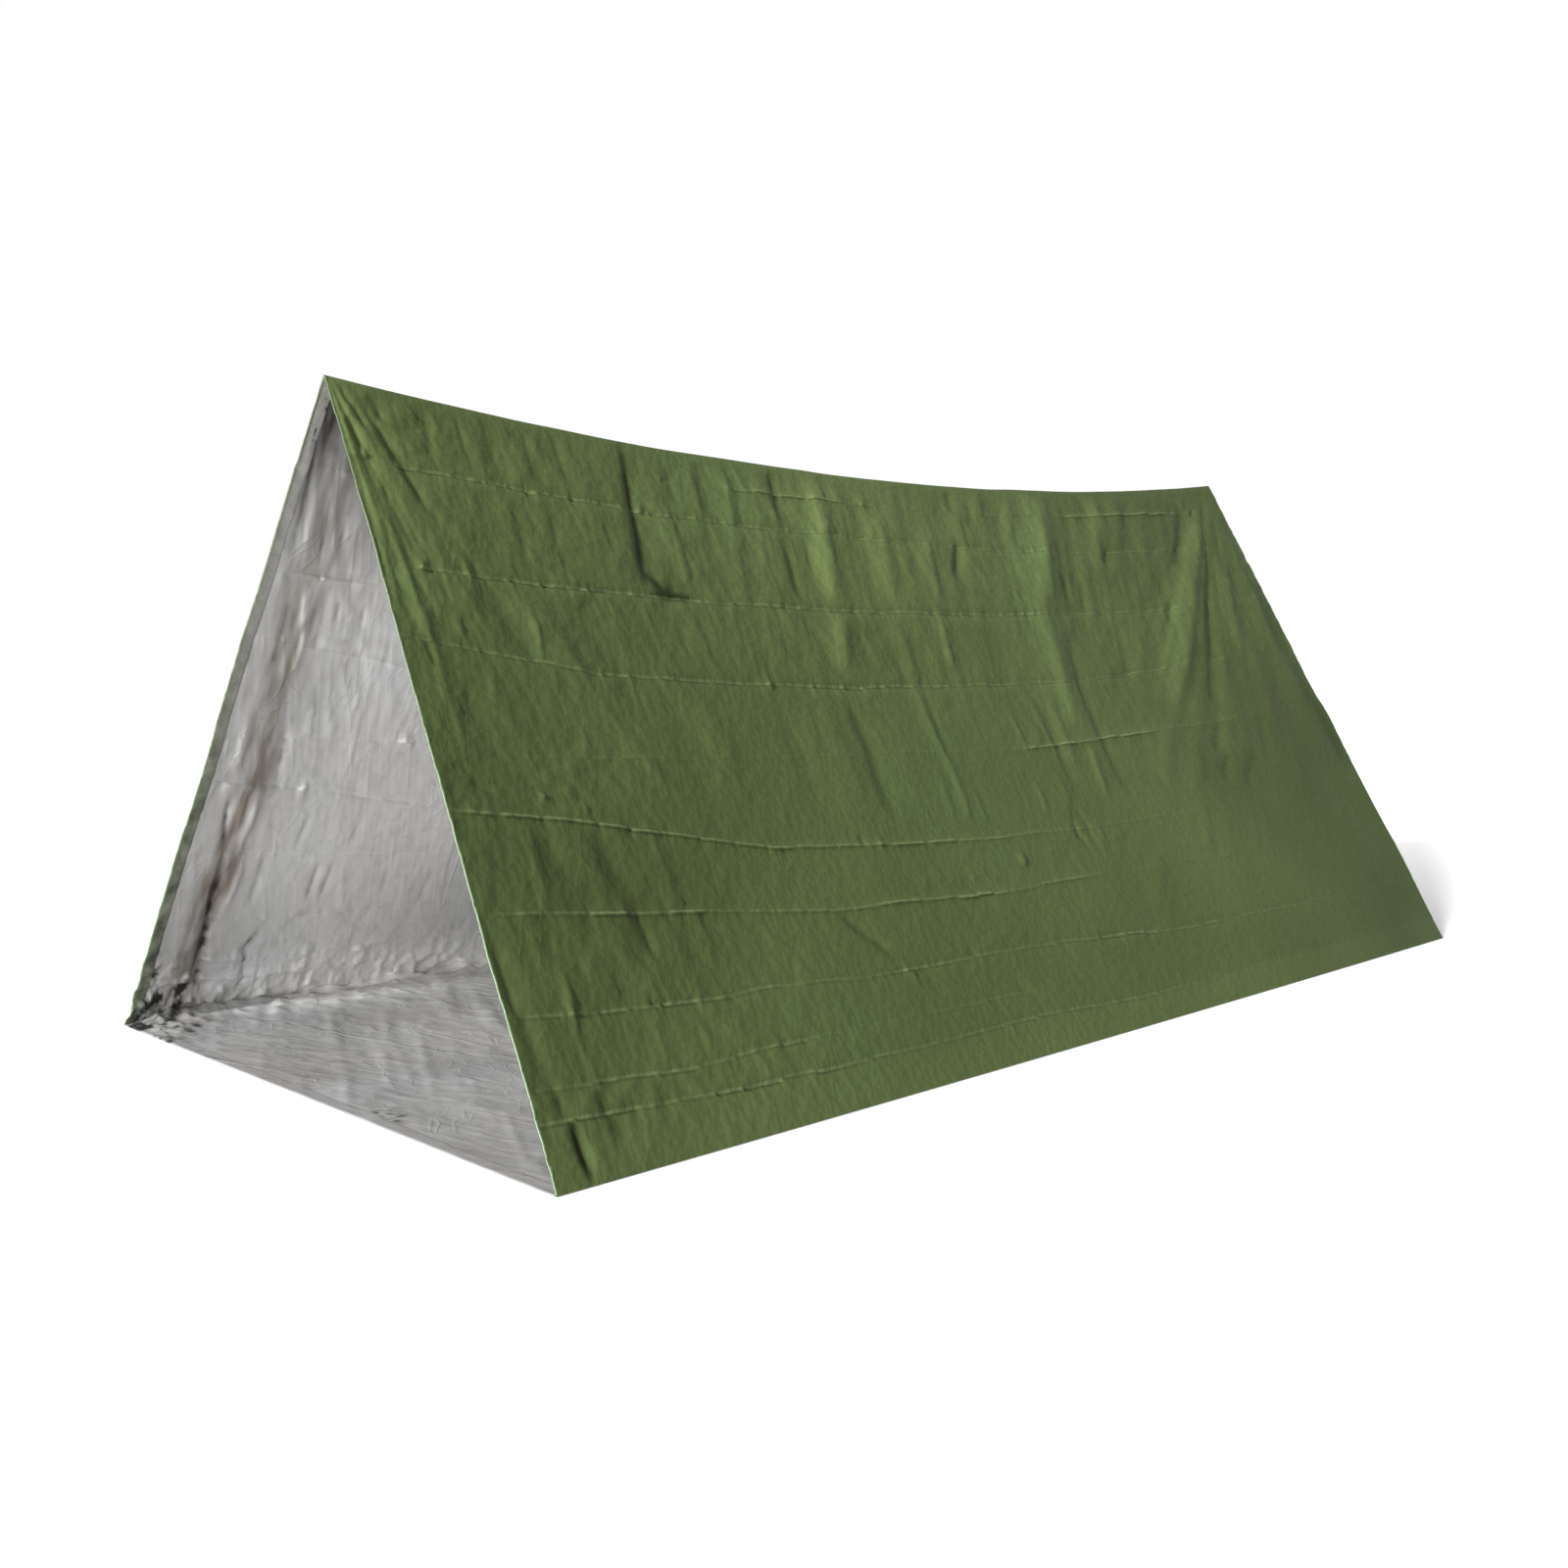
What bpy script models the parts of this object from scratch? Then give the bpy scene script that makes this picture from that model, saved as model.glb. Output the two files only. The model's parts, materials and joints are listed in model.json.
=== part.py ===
"""Emergency tube tent, pitched: one tube of two-ply film that hangs over a ridge line.

Metres, +Z up. The ridge runs along Y, the open front is at -Y, and the floor lies on Z = 0.
A place on a wall is given by two shares: along, from the front edge (0) to the rear edge (1),
and up, from the foot crease (0) to the ridge (1). The film is thicker here than the real one,
so that each ply can be a solid of its own.
"""

import math

import bmesh
import bpy
from mathutils import Vector

# Overall sizes of the pitched tent
TENT_LENGTH = 2.400
FLOOR_WIDTH = 1.214
RIDGE_HEIGHT = 1.023
RIDGE_SAG = 0.067
FRONT_APEX_SETBACK = 0.064
FOOT_BOW = 0.007
WALL_BELLY = 0.012

# Film plies and the clearances that keep neighbours apart
OUTER_PLY = 0.0005
INNER_PLY = 0.0005
HEM_PLY = 0.0005
SEAM_PLY = 0.0005
PLY_GAP = 0.0003
PANEL_GAP = 0.0003

# Strips of film
RIDGE_BAND = 0.050
HEM_WIDTH = 0.020
SEAM_WIDTH = 0.030

# Drape folds and packing creases
FOLD_HEIGHT = 0.013
FOLD_WIDTH = 0.050
RIDGE_FADE = 0.120
EDGE_FADE = 0.100
FOOT_FADE = 0.150
CREASE_RELIEF = 0.0015

# Packing creases, as shares of the wall's height, from the foot crease up
CREASE_UP_SHARES = (0.060, 0.165, 0.255, 0.345, 0.480, 0.600, 0.735, 0.880)
TALLEST_ROW_SHARE = 0.130
COLUMNS_ALONG = 32

# Each fold runs from its top to its low end, as shares (along, up) of the wall. Then come
# its height and its width, as shares of FOLD_HEIGHT and FOLD_WIDTH. A valley is negative.
RIGHT_FOLD_SHARES = (
    ((0.225, 1.080), (0.200, 0.740), -0.85, 0.70),
    ((0.262, 1.060), (0.240, 0.700), 0.55, 0.80),
    ((0.405, 1.060), (0.360, 0.560), 0.75, 0.90),
    ((0.525, 1.060), (0.465, 0.480), 0.80, 1.00),
    ((0.585, 1.050), (0.530, 0.720), -0.70, 0.80),
    ((0.710, 1.080), (0.595, 0.330), 1.00, 0.90),
    ((0.770, 1.050), (0.690, 0.600), -0.65, 1.00),
    ((0.990, 1.020), (0.720, 0.400), 1.00, 1.00),
    ((0.960, 1.000), (0.700, 0.520), -0.70, 0.90),
    ((1.000, 0.980), (0.880, 0.350), 0.75, 1.20),
    ((0.100, 0.460), (0.110, 0.130), -0.60, 0.90),
    ((0.430, 0.640), (0.430, 0.300), 0.40, 1.10),
    ((0.000, 1.000), (0.085, 0.660), -0.60, 0.80),
)
LEFT_FOLD_SHARES = (
    ((0.055, 0.900), (0.050, 0.020), 0.90, 0.70),
    ((0.115, 0.480), (0.095, 0.060), -0.60, 0.70),
    ((0.240, 1.080), (0.215, 0.640), 0.80, 0.90),
    ((0.345, 1.060), (0.325, 0.560), -0.70, 0.90),
    ((0.470, 1.080), (0.450, 0.420), 0.95, 1.00),
    ((0.590, 1.060), (0.560, 0.600), -0.75, 0.90),
    ((0.700, 1.080), (0.625, 0.450), 0.85, 1.00),
    ((0.990, 1.020), (0.740, 0.420), 0.95, 1.00),
    ((0.960, 1.000), (0.690, 0.580), -0.65, 0.90),
    ((1.000, 0.970), (0.890, 0.380), 0.65, 1.20),
)
FOLD_TAPER_SHARE = 0.300

# Colours are linear red, green and blue, then roughness and metallic
FINISHES = {
    "green_film": ((0.091, 0.125, 0.050), 0.42, 0.0),
    "pale_green_hem": ((0.190, 0.235, 0.140), 0.45, 0.0),
    "silver_film": ((0.420, 0.415, 0.405), 0.30, 0.9),
}

# Worked out from the sizes above. A wall leans at the angle of its slope to the floor.
RIGHT = 1
LEFT = -1
SLOPE_LENGTH = math.hypot(FLOOR_WIDTH / 2, RIDGE_HEIGHT)
SLOPE_SIN = RIDGE_HEIGHT / SLOPE_LENGTH
SLOPE_COS = FLOOR_WIDTH / 2 / SLOPE_LENGTH
HALF_GAP = PLY_GAP / 2
INNER_FACE = HALF_GAP + INNER_PLY
FLOOR_MIDDLE = OUTER_PLY + HALF_GAP
FLOOR_TOP = FLOOR_MIDDLE + INNER_FACE
FOOT_LIFT = INNER_FACE
HEM_LIFT = INNER_FACE + PLY_GAP
HEM_TOP = FLOOR_TOP + PLY_GAP + HEM_PLY
SEAM_TOP = FLOOR_TOP + PLY_GAP + SEAM_PLY
RIDGE_JOINT = Vector((0, 0, RIDGE_HEIGHT))


def swell(share):
    """Nothing at either end of a run, and 1 at its middle."""
    return 4 * share * (1 - share)


def ease(distance, reach):
    """A smooth rise from 0, at no distance, to 1 at the reach and past it."""
    share = min(max(distance / reach, 0), 1)
    return share * share * (3 - 2 * share)


def half_width(along):
    """Half the floor's width: the foot creases bow out a little between the corners."""
    return FLOOR_WIDTH / 2 + FOOT_BOW * swell(along)


def length_at(along, up):
    """The place along Y: the front edge leans back from the foot to the front apex."""
    front = FRONT_APEX_SETBACK * up - TENT_LENGTH / 2
    return front + (TENT_LENGTH / 2 - front) * along


def fold_relief(fold, along, up):
    """How far one fold stands out of the wall at a place."""
    top, low, height_share, width_share = fold
    run = Vector(((low[0] - top[0]) * TENT_LENGTH, (low[1] - top[1]) * SLOPE_LENGTH))
    place = Vector(((along - top[0]) * TENT_LENGTH, (up - top[1]) * SLOPE_LENGTH))
    gone = place.dot(run) / run.length_squared
    aside = place.cross(run) / run.length / (FOLD_WIDTH * width_share)
    taper = ease(gone, FOLD_TAPER_SHARE) * ease(1 - gone, FOLD_TAPER_SHARE)
    return FOLD_HEIGHT * height_share * taper * math.exp(-aside * aside)


def crease_relief(up):
    """The packing creases fold in and out in turn, with flat bands of film between them."""
    turns = (0, *CREASE_UP_SHARES, 1)
    for number, (below, above) in enumerate(zip(turns, turns[1:])):
        if up <= above:
            low = CREASE_RELIEF * (-1) ** number if number else 0
            high = -CREASE_RELIEF * (-1) ** number if above < 1 else 0
            return low + (high - low) * (up - below) / (above - below)
    return 0


def wall_relief(side, along, up):
    """How far the film stands out of the flat wall between the foot crease and the ridge."""
    folds = RIGHT_FOLD_SHARES if side == RIGHT else LEFT_FOLD_SHARES
    height = sum(fold_relief(fold, along, up) for fold in folds)
    height *= ease((1 - up) * SLOPE_LENGTH, RIDGE_FADE)
    height *= ease((up - CREASE_UP_SHARES[0]) * SLOPE_LENGTH, FOOT_FADE)
    height *= ease(min(along, 1 - along) * TENT_LENGTH, EDGE_FADE)
    return height + crease_relief(up) - WALL_BELLY * swell(along) * swell(up)


def wall_point(side, along, up):
    """A point on the middle of the film of one wall."""
    ridge = RIDGE_HEIGHT - RIDGE_SAG * swell(along)
    relief = wall_relief(side, along, up)
    across = half_width(along) * (1 - up) + relief * SLOPE_SIN
    height = FOOT_LIFT + (ridge - FOOT_LIFT) * up + relief * SLOPE_COS
    return Vector((side * across, length_at(along, up), height))


def ridge_point(along, band):
    """A point on the ridge fold: band runs from 1, low on the right, to -1, low on the left."""
    side = RIGHT if band >= 0 else LEFT
    return wall_point(side, along, 1 - abs(band) * RIDGE_BAND / SLOPE_LENGTH)


def floor_point(along, across):
    """A point on the middle of the floor's film: across is a distance from the centre."""
    return Vector((across, length_at(along, 0), FLOOR_MIDDLE))


def start_above_floor(depth, height):
    """How far up the wall a strip on its inner side starts, to clear what lies on the floor."""
    return (height + PANEL_GAP - FOOT_LIFT + depth * SLOPE_COS) / SLOPE_SIN


def inset_beside_wall(depth, height):
    """How far from the foot crease a strip on the floor ends, to clear the wall."""
    return (depth + (height - FOOT_LIFT) * SLOPE_COS) / SLOPE_SIN + PANEL_GAP


def columns_along():
    """Shares along the tent where the film is set out, with one column at each hem's edge."""
    hem = HEM_WIDTH / TENT_LENGTH
    inner = [hem + (1 - 2 * hem) * step / COLUMNS_ALONG for step in range(COLUMNS_ALONG + 1)]
    return [0, *inner, 1]


def wall_rows(foot, top):
    """Shares up the wall: one row at each packing crease, and one more in each tall band."""
    turns = [foot, *CREASE_UP_SHARES, top]
    rows = [foot]
    for below, above in zip(turns, turns[1:]):
        if above - below > TALLEST_ROW_SHARE:
            rows.append((below + above) / 2)
        rows.append(above)
    return rows


def finish_material(name):
    """A plain shader with the film's colour, roughness and metallic value."""
    colour, roughness, metallic = FINISHES[name]
    material = bpy.data.materials.get(name) or bpy.data.materials.new(name)
    material.use_nodes = True
    shader = material.node_tree.nodes["Principled BSDF"]
    shader.inputs["Base Color"].default_value = (*colour, 1)
    shader.inputs["Roughness"].default_value = roughness
    shader.inputs["Metallic"].default_value = metallic
    material.diffuse_color = (*colour, 1)
    return material


def film_ply(name, surface, columns, rows, lift, thickness, finish, carrier=None):
    """One ply: a grid laid on a surface and lifted off it, with its thickness added.

    surface(column, row) gives the middle of the film with its faces outwards. A positive
    lift or thickness goes outwards from there, and a negative one goes inwards.
    """
    sheet = bmesh.new()
    last_column = len(columns) - 1
    last_row = len(rows) - 1
    bmesh.ops.create_grid(sheet, x_segments=last_column, y_segments=last_row, size=1)
    for vertex in sheet.verts:
        column = columns[round((vertex.co.x + 1) / 2 * last_column)]
        row = rows[round((vertex.co.y + 1) / 2 * last_row)]
        vertex.co = surface(column, row)
    bmesh.ops.triangulate(sheet, faces=sheet.faces[:], quad_method="FIXED")
    sheet.normal_update()
    lifts = [vertex.normal * vertex.calc_shell_factor() * lift for vertex in sheet.verts]
    for vertex, shift in zip(sheet.verts, lifts):
        vertex.co += shift

    origin = carrier.location if carrier else Vector()
    bmesh.ops.translate(sheet, verts=sheet.verts[:], vec=-origin)
    mesh = bpy.data.meshes.new(name)
    sheet.to_mesh(mesh)
    sheet.free()
    mesh.materials.append(finish_material(finish))
    ply = bpy.data.objects.new(name, mesh)
    ply.parent = carrier
    tent.objects.link(ply)

    wall = ply.modifiers.new("ply_thickness", "SOLIDIFY")
    wall.thickness = abs(thickness)
    wall.offset = math.copysign(1, thickness)
    wall.use_even_offset = True
    return ply


def two_plies(name, surface, columns, rows, carrier=None):
    """The green outer ply and the aluminised inner ply of one panel."""
    film_ply(
        f"{name}_outer_film", surface, columns, rows, HALF_GAP, OUTER_PLY, "green_film", carrier
    )
    film_ply(
        f"{name}_inner_film", surface, columns, rows, -HALF_GAP, -INNER_PLY, "silver_film", carrier
    )


def hem(name, surface, columns, rows, carrier=None):
    """A strip of the outer film, turned in over the inner ply along the cut edge."""
    film_ply(name, surface, columns, rows, -HEM_LIFT, -HEM_PLY, "pale_green_hem", carrier)


def floor_rows(inset):
    """A floor panel as shares of its width, which its surface turns into distances."""

    def surface(along, share):
        return floor_point(along, share * (half_width(along) - inset))

    return surface, (-1, 1)


def make_walls(columns, hem_columns):
    """Both walls from the foot crease to the ridge fold, with their hems."""
    top = 1 - (RIDGE_BAND + PANEL_GAP) / SLOPE_LENGTH
    hem_foot = start_above_floor(HEM_LIFT + HEM_PLY, HEM_TOP) / SLOPE_LENGTH
    for word, side in (("left", LEFT), ("right", RIGHT)):

        def surface(along, up, side=side):
            return wall_point(side, along, up)

        rows = wall_rows(0, top)[::side]
        two_plies(f"{word}_wall", surface, columns, rows)
        for end, ends in hem_columns.items():
            hem(f"{end}_hem_{word}", surface, ends, wall_rows(hem_foot, top)[::side])


def make_ridge(columns, hem_columns):
    """The fold over the ridge line, which comes down when the line is slackened."""
    carrier = bpy.data.objects.new("ridge_carrier", None)
    carrier.location = RIDGE_JOINT
    tent.objects.link(carrier)
    band = (1, 0, -1)
    two_plies("ridge", ridge_point, columns, band, carrier)
    for end, ends in hem_columns.items():
        hem(f"{end}_hem_ridge", ridge_point, ends, band, carrier)


def make_floor(columns, hem_columns):
    """The floor panel, its hems and the weld that closes the film into a tube."""
    surface, rows = floor_rows(inset_beside_wall(INNER_FACE, FLOOR_TOP))
    two_plies("floor", surface, columns, rows)
    surface, rows = floor_rows(inset_beside_wall(INNER_FACE, HEM_TOP))
    for end, ends in hem_columns.items():
        hem(f"{end}_hem_floor", surface, ends, rows)

    seam_edge = inset_beside_wall(INNER_FACE, SEAM_TOP)

    def seam_surface(along, share):
        return floor_point(along, seam_edge + SEAM_WIDTH * share - half_width(along))

    clear = (HEM_WIDTH + PANEL_GAP) / TENT_LENGTH
    between = [clear, *columns[2:-2], 1 - clear]
    film_ply(
        "floor_closing_seam", seam_surface, between, (0, 1), -HEM_LIFT, -SEAM_PLY, "silver_film"
    )


def main():
    columns = columns_along()
    hem_columns = {"front": columns[:2], "rear": columns[-2:]}
    make_floor(columns, hem_columns)
    make_walls(columns, hem_columns)
    make_ridge(columns, hem_columns)


for thing in list(bpy.data.objects):
    bpy.data.objects.remove(thing)
tent = bpy.data.collections.new("emergency_tube_tent")
bpy.context.scene.collection.children.link(tent)
main()
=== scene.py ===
# %% [markdown]
# # Emergency tube tent
# This lesson dresses the plain solids of an emergency tube tent. The real tent is one tube of
# thin film, green outside and aluminised inside, which hangs over a ridge line. Film that has
# been folded small for packing keeps sharp creases, so most of the work is in its wrinkles.
# The plain solids come first: they fix every place and size, and nothing below moves them.

import json
import math

import bpy
import numpy as np
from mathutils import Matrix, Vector

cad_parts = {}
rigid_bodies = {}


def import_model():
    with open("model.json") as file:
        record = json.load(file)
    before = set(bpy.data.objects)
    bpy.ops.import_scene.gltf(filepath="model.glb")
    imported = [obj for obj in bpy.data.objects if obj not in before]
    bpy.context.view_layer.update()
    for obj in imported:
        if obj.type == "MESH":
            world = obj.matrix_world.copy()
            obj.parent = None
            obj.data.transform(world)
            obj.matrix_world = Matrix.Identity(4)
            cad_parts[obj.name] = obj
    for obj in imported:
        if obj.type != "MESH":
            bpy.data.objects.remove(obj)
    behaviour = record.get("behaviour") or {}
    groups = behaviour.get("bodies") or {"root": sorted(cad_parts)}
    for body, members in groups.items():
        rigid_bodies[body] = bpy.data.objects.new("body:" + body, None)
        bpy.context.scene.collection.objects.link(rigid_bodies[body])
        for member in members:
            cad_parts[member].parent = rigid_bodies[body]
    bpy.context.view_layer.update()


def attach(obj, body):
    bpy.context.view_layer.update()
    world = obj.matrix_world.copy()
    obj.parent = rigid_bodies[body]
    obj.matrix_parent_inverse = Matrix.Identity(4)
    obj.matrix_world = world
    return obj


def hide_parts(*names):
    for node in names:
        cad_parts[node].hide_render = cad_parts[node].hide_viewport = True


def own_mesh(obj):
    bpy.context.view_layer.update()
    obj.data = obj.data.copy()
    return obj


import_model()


def deselect_all():
    """Operators act on whatever is selected, so each step starts with nothing selected."""
    for thing in bpy.data.objects:
        thing.select_set(False)


deselect_all()

# %% [markdown]
# ## Sizes
# The tent's main sizes are the same as in the plain solids. A place on a wall is given by its
# share along the tent, from the front edge (0) to the rear edge (1), and by how far down the
# slope it lies from the ridge, in metres. The film is so thin that each ply is a bare surface
# here, at most a millimetre from its neighbour.

# %% Sizes of the tent
TENT_LENGTH = 2.400
FLOOR_WIDTH = 1.214
RIDGE_HEIGHT = 1.023
RIDGE_SAG = 0.067
FRONT_APEX_SETBACK = 0.064
FOOT_BOW = 0.007
WALL_BELLY = 0.012
RIDGE_ROUNDING = 0.0015
PLY_OFFSET = 0.0005
FOOT_LIFT = 0.0008
FLOOR_LIFT = 0.0010
GROUND_PLY_HEIGHT = 0.0002
HEM_WIDTH = 0.020
SEAM_WIDTH = 0.030
MM = 0.001
FILM_STEP = 1.5 * MM
RIGHT = 1
LEFT = -1

SLOPE_LENGTH = math.hypot(FLOOR_WIDTH / 2, RIDGE_HEIGHT)
SLOPE_SIN = RIDGE_HEIGHT / SLOPE_LENGTH
SLOPE_COS = FLOOR_WIDTH / 2 / SLOPE_LENGTH
print("a wall measures", round(SLOPE_LENGTH, 3), "m from the foot crease to the ridge")

# %% [markdown]
# ## Camera
# The camera stands at the front right corner, a little above half the tent's height, and looks
# slightly down. Its place and lens come from where the tent's corners lie in the photograph.

# %% Camera
CAMERA_PLACE = (2.1223, -2.3205, 0.6460)
CAMERA_TURN = 45.42
CAMERA_TILT = -4.93
CAMERA_LENS = 37.63
CAMERA_SENSOR = 36

camera_data = bpy.data.cameras.new("photo_camera")
camera_data.lens = CAMERA_LENS
camera_data.sensor_width = CAMERA_SENSOR
camera = bpy.data.objects.new("photo_camera", camera_data)
camera.location = CAMERA_PLACE
camera.rotation_euler = (math.radians(90 + CAMERA_TILT), 0, math.radians(CAMERA_TURN))
bpy.context.scene.collection.objects.link(camera)
bpy.context.scene.camera = camera
bpy.context.scene.view_settings.view_transform = "Standard"
print("camera at", CAMERA_PLACE)

# %% [markdown]
# ## Lamps
# Three lamps light the tent. A soft sun stands low before the front and rakes along the right
# wall, so that each fold gets a light flank and a dark one. A large square lamp further off and
# a small one close to the opening light the inside.

# %% Lamps
KEY_FROM = (0.10, -0.86, 0.40)
KEY_STRENGTH = 7.2
KEY_SOFTNESS = 9
INSIDE_LAMP_WATTS = 98
INSIDE_LAMP_SIZE = 1.6
INSIDE_LAMP_PLACE = (-2.4, -4.2, 0.9)
INSIDE_LAMP_AIM = (0.15, -0.6, 0.25)
OPENING_LAMP_WATTS = 26
OPENING_LAMP_SIZE = 0.6
OPENING_LAMP_PLACE = (0.45, -2.55, 0.25)
OPENING_LAMP_AIM = (-0.42, -0.90, 0.16)


def add_lamp(name, kind, strength, place, aim):
    """A lamp at its place, turned towards the point that it aims at."""
    data = bpy.data.lights.new(name, kind)
    data.energy = strength
    lamp = bpy.data.objects.new(name, data)
    lamp.location = place
    lamp.rotation_euler = (Vector(aim) - lamp.location).to_track_quat("-Z", "Y").to_euler()
    bpy.context.scene.collection.objects.link(lamp)
    print(name, "strength", strength)
    return lamp


key_lamp = add_lamp("key_lamp", "SUN", KEY_STRENGTH, (0, 0, 0), -Vector(KEY_FROM))
key_lamp.data.angle = math.radians(KEY_SOFTNESS)
inside_lamp = add_lamp(
    "inside_lamp", "AREA", INSIDE_LAMP_WATTS, INSIDE_LAMP_PLACE, INSIDE_LAMP_AIM
)
opening_lamp = add_lamp(
    "opening_lamp", "AREA", OPENING_LAMP_WATTS, OPENING_LAMP_PLACE, OPENING_LAMP_AIM
)
for lamp, size in ((inside_lamp, INSIDE_LAMP_SIZE), (opening_lamp, OPENING_LAMP_SIZE)):
    lamp.data.shape = "SQUARE"
    lamp.data.size = size
opening_lamp.visible_camera = False

# %% [markdown]
# ## Nodes
# The sky and the materials are built from nodes. These helpers make a node, join two nodes, and
# combine or stretch values, so that each finish below reads as a short recipe.


# %% Helpers for nodes
def node(owner, kind, **settings):
    """A new node of a material or a world, with its plain settings."""
    made = owner.node_tree.nodes.new(kind)
    for word, value in settings.items():
        setattr(made, word, value)
    return made


def join(owner, start, end):
    """Joins an output of one node to an input of another."""
    owner.node_tree.links.new(start, end)


def combine(owner, operation, first, second):
    """Two values made into one, such as by MULTIPLY. The second may be a plain number."""
    made = node(owner, "ShaderNodeMath", operation=operation)
    join(owner, first, made.inputs[0])
    if isinstance(second, float):
        made.inputs[1].default_value = second
    else:
        join(owner, second, made.inputs[1])
    return made.outputs["Value"]


def spread(owner, value, low, high, to_low=0.0, to_high=1.0):
    """Stretches the values from low to high over a new range."""
    ranged = node(owner, "ShaderNodeMapRange")
    ranged.inputs["From Min"].default_value = low
    ranged.inputs["From Max"].default_value = high
    ranged.inputs["To Min"].default_value = to_low
    ranged.inputs["To Max"].default_value = to_high
    join(owner, value, ranged.inputs["Value"])
    return ranged.outputs["Result"]


def sees_white(owner):
    """1 for rays from the camera, through clear things or off glossy ones, and 0 for others."""
    path = node(owner, "ShaderNodeLightPath")
    camera_ray, clear_ray = path.outputs["Is Camera Ray"], path.outputs["Is Transmission Ray"]
    seen = combine(owner, "MAXIMUM", camera_ray, clear_ray)
    return combine(owner, "MAXIMUM", seen, path.outputs["Is Glossy Ray"])


print("node helpers ready")

# %% [markdown]
# ## Sky and studio floor
# An even sky fills the shadows. The camera sees a white sky, and a floor that glows towards white
# with the distance from the tent, so the shadow beside the tent stays and no horizon shows.

# %% Sky
SKY_FILL = 0.24
WHITE = (1, 1, 1, 1)

sky = bpy.data.worlds.new("studio_sky")
bpy.context.scene.world = sky
sky.use_nodes = True
sky.node_tree.nodes.clear()
mix = node(sky, "ShaderNodeMixShader")
join(sky, sees_white(sky), mix.inputs[0])
for strength, socket in ((SKY_FILL, mix.inputs[1]), (1, mix.inputs[2])):
    background = node(sky, "ShaderNodeBackground")
    background.inputs["Color"].default_value = WHITE
    background.inputs["Strength"].default_value = strength
    join(sky, background.outputs[0], socket)
output = node(sky, "ShaderNodeOutputWorld")
join(sky, mix.outputs[0], output.inputs["Surface"])
print("sky fill", SKY_FILL)

# %% Floor of the studio
STUDIO_SIZE = 60
STUDIO_DROP = 0.0002
STUDIO_PAINT = (0.62, 0.62, 0.62, 1)
GLOW_STARTS = 1.4
GLOW_ENDS = 4.0
GLOW_NEAR = 0.42
GLOW_FAR = 1.0

bpy.ops.mesh.primitive_plane_add(size=STUDIO_SIZE, location=(0, 0, -STUDIO_DROP))
studio_floor = bpy.context.object
studio_floor.name = "studio_floor"
floor_paint = bpy.data.materials.new("studio_floor_paint")
floor_paint.use_nodes = True
floor_paint.node_tree.nodes.clear()
paint = node(floor_paint, "ShaderNodeBsdfDiffuse")
paint.inputs["Color"].default_value = STUDIO_PAINT
place = node(floor_paint, "ShaderNodeTexCoord")
distance = node(floor_paint, "ShaderNodeVectorMath", operation="LENGTH")
join(floor_paint, place.outputs["Object"], distance.inputs[0])
far = spread(floor_paint, distance.outputs["Value"], GLOW_STARTS, GLOW_ENDS, GLOW_NEAR, GLOW_FAR)
glow = node(floor_paint, "ShaderNodeEmission")
glow.inputs["Color"].default_value = WHITE
lifted = combine(floor_paint, "MULTIPLY", sees_white(floor_paint), far)
join(floor_paint, lifted, glow.inputs["Strength"])
both = node(floor_paint, "ShaderNodeAddShader")
join(floor_paint, paint.outputs[0], both.inputs[0])
join(floor_paint, glow.outputs[0], both.inputs[1])
output = node(floor_paint, "ShaderNodeOutputMaterial")
join(floor_paint, both.outputs[0], output.inputs["Surface"])
studio_floor.data.materials.append(floor_paint)
print("studio floor laid")

# %% [markdown]
# ## Patterns on the film
# The UV map of each sheet is its flat cut, so a pattern lies on the film and doesn't slide over
# the folds. Smooth noise gives drifting colour, and the points of a sheet carry further values.

# %% Helpers for materials
UV_SPAN = 2.5


def new_material(name):
    """A new node material and its shader."""
    material = bpy.data.materials.new(name)
    material.use_nodes = True
    return material, material.node_tree.nodes["Principled BSDF"]


def attribute(material, name):
    """The value that a sheet's points carry under this name."""
    return node(material, "ShaderNodeAttribute", attribute_name=name).outputs["Fac"]


def film_place(material, turn=0.0, stretch=(1, 1, 1)):
    """Places on the flat film in metres, turned and stretched for one pattern."""
    place = node(material, "ShaderNodeUVMap", uv_map="flat_cut")
    turned = node(material, "ShaderNodeMapping", vector_type="TEXTURE")
    turned.inputs["Scale"].default_value = [1 / (UV_SPAN * share) for share in stretch]
    turned.inputs["Rotation"].default_value = (0, 0, math.radians(turn))
    join(material, place.outputs["UV"], turned.inputs["Vector"])
    return turned.outputs["Vector"]


def noise(material, place, scale, detail=3.0, distortion=0.0):
    """Smooth noise from 0 to 1. The scale counts its lumps in a metre."""
    pattern = node(material, "ShaderNodeTexNoise")
    pattern.inputs["Scale"].default_value = scale
    pattern.inputs["Detail"].default_value = detail
    pattern.inputs["Distortion"].default_value = distortion
    join(material, place, pattern.inputs["Vector"])
    return pattern.outputs["Fac"]


def blend_colours(material, share, first, second):
    """One colour where the share is 0 and another where it is 1."""
    mixed = node(material, "ShaderNodeMix", data_type="RGBA")
    for value, socket in ((first, mixed.inputs[6]), (second, mixed.inputs[7])):
        if isinstance(value, tuple):
            socket.default_value = (*value, 1)
        else:
            join(material, value, socket)
    join(material, share, mixed.inputs[0])
    return mixed.outputs[2]


def toned(material, colour, share):
    """The same colour, darker or paler by a share that varies over the film."""
    product = node(material, "ShaderNodeVectorMath", operation="SCALE")
    join(material, colour, product.inputs[0])
    join(material, share, product.inputs["Scale"])
    return product.outputs[0]


print("colour helpers ready")

# %% [markdown]
# ## Fine wrinkles
# Two kinds of sharp lines give the film its fine wrinkles: smooth noise folded at its middle,
# and the straight edges between flat facets, as in crumpled foil. They are bumps in the shading
# only. The larger folds further down move the sheets themselves.

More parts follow.
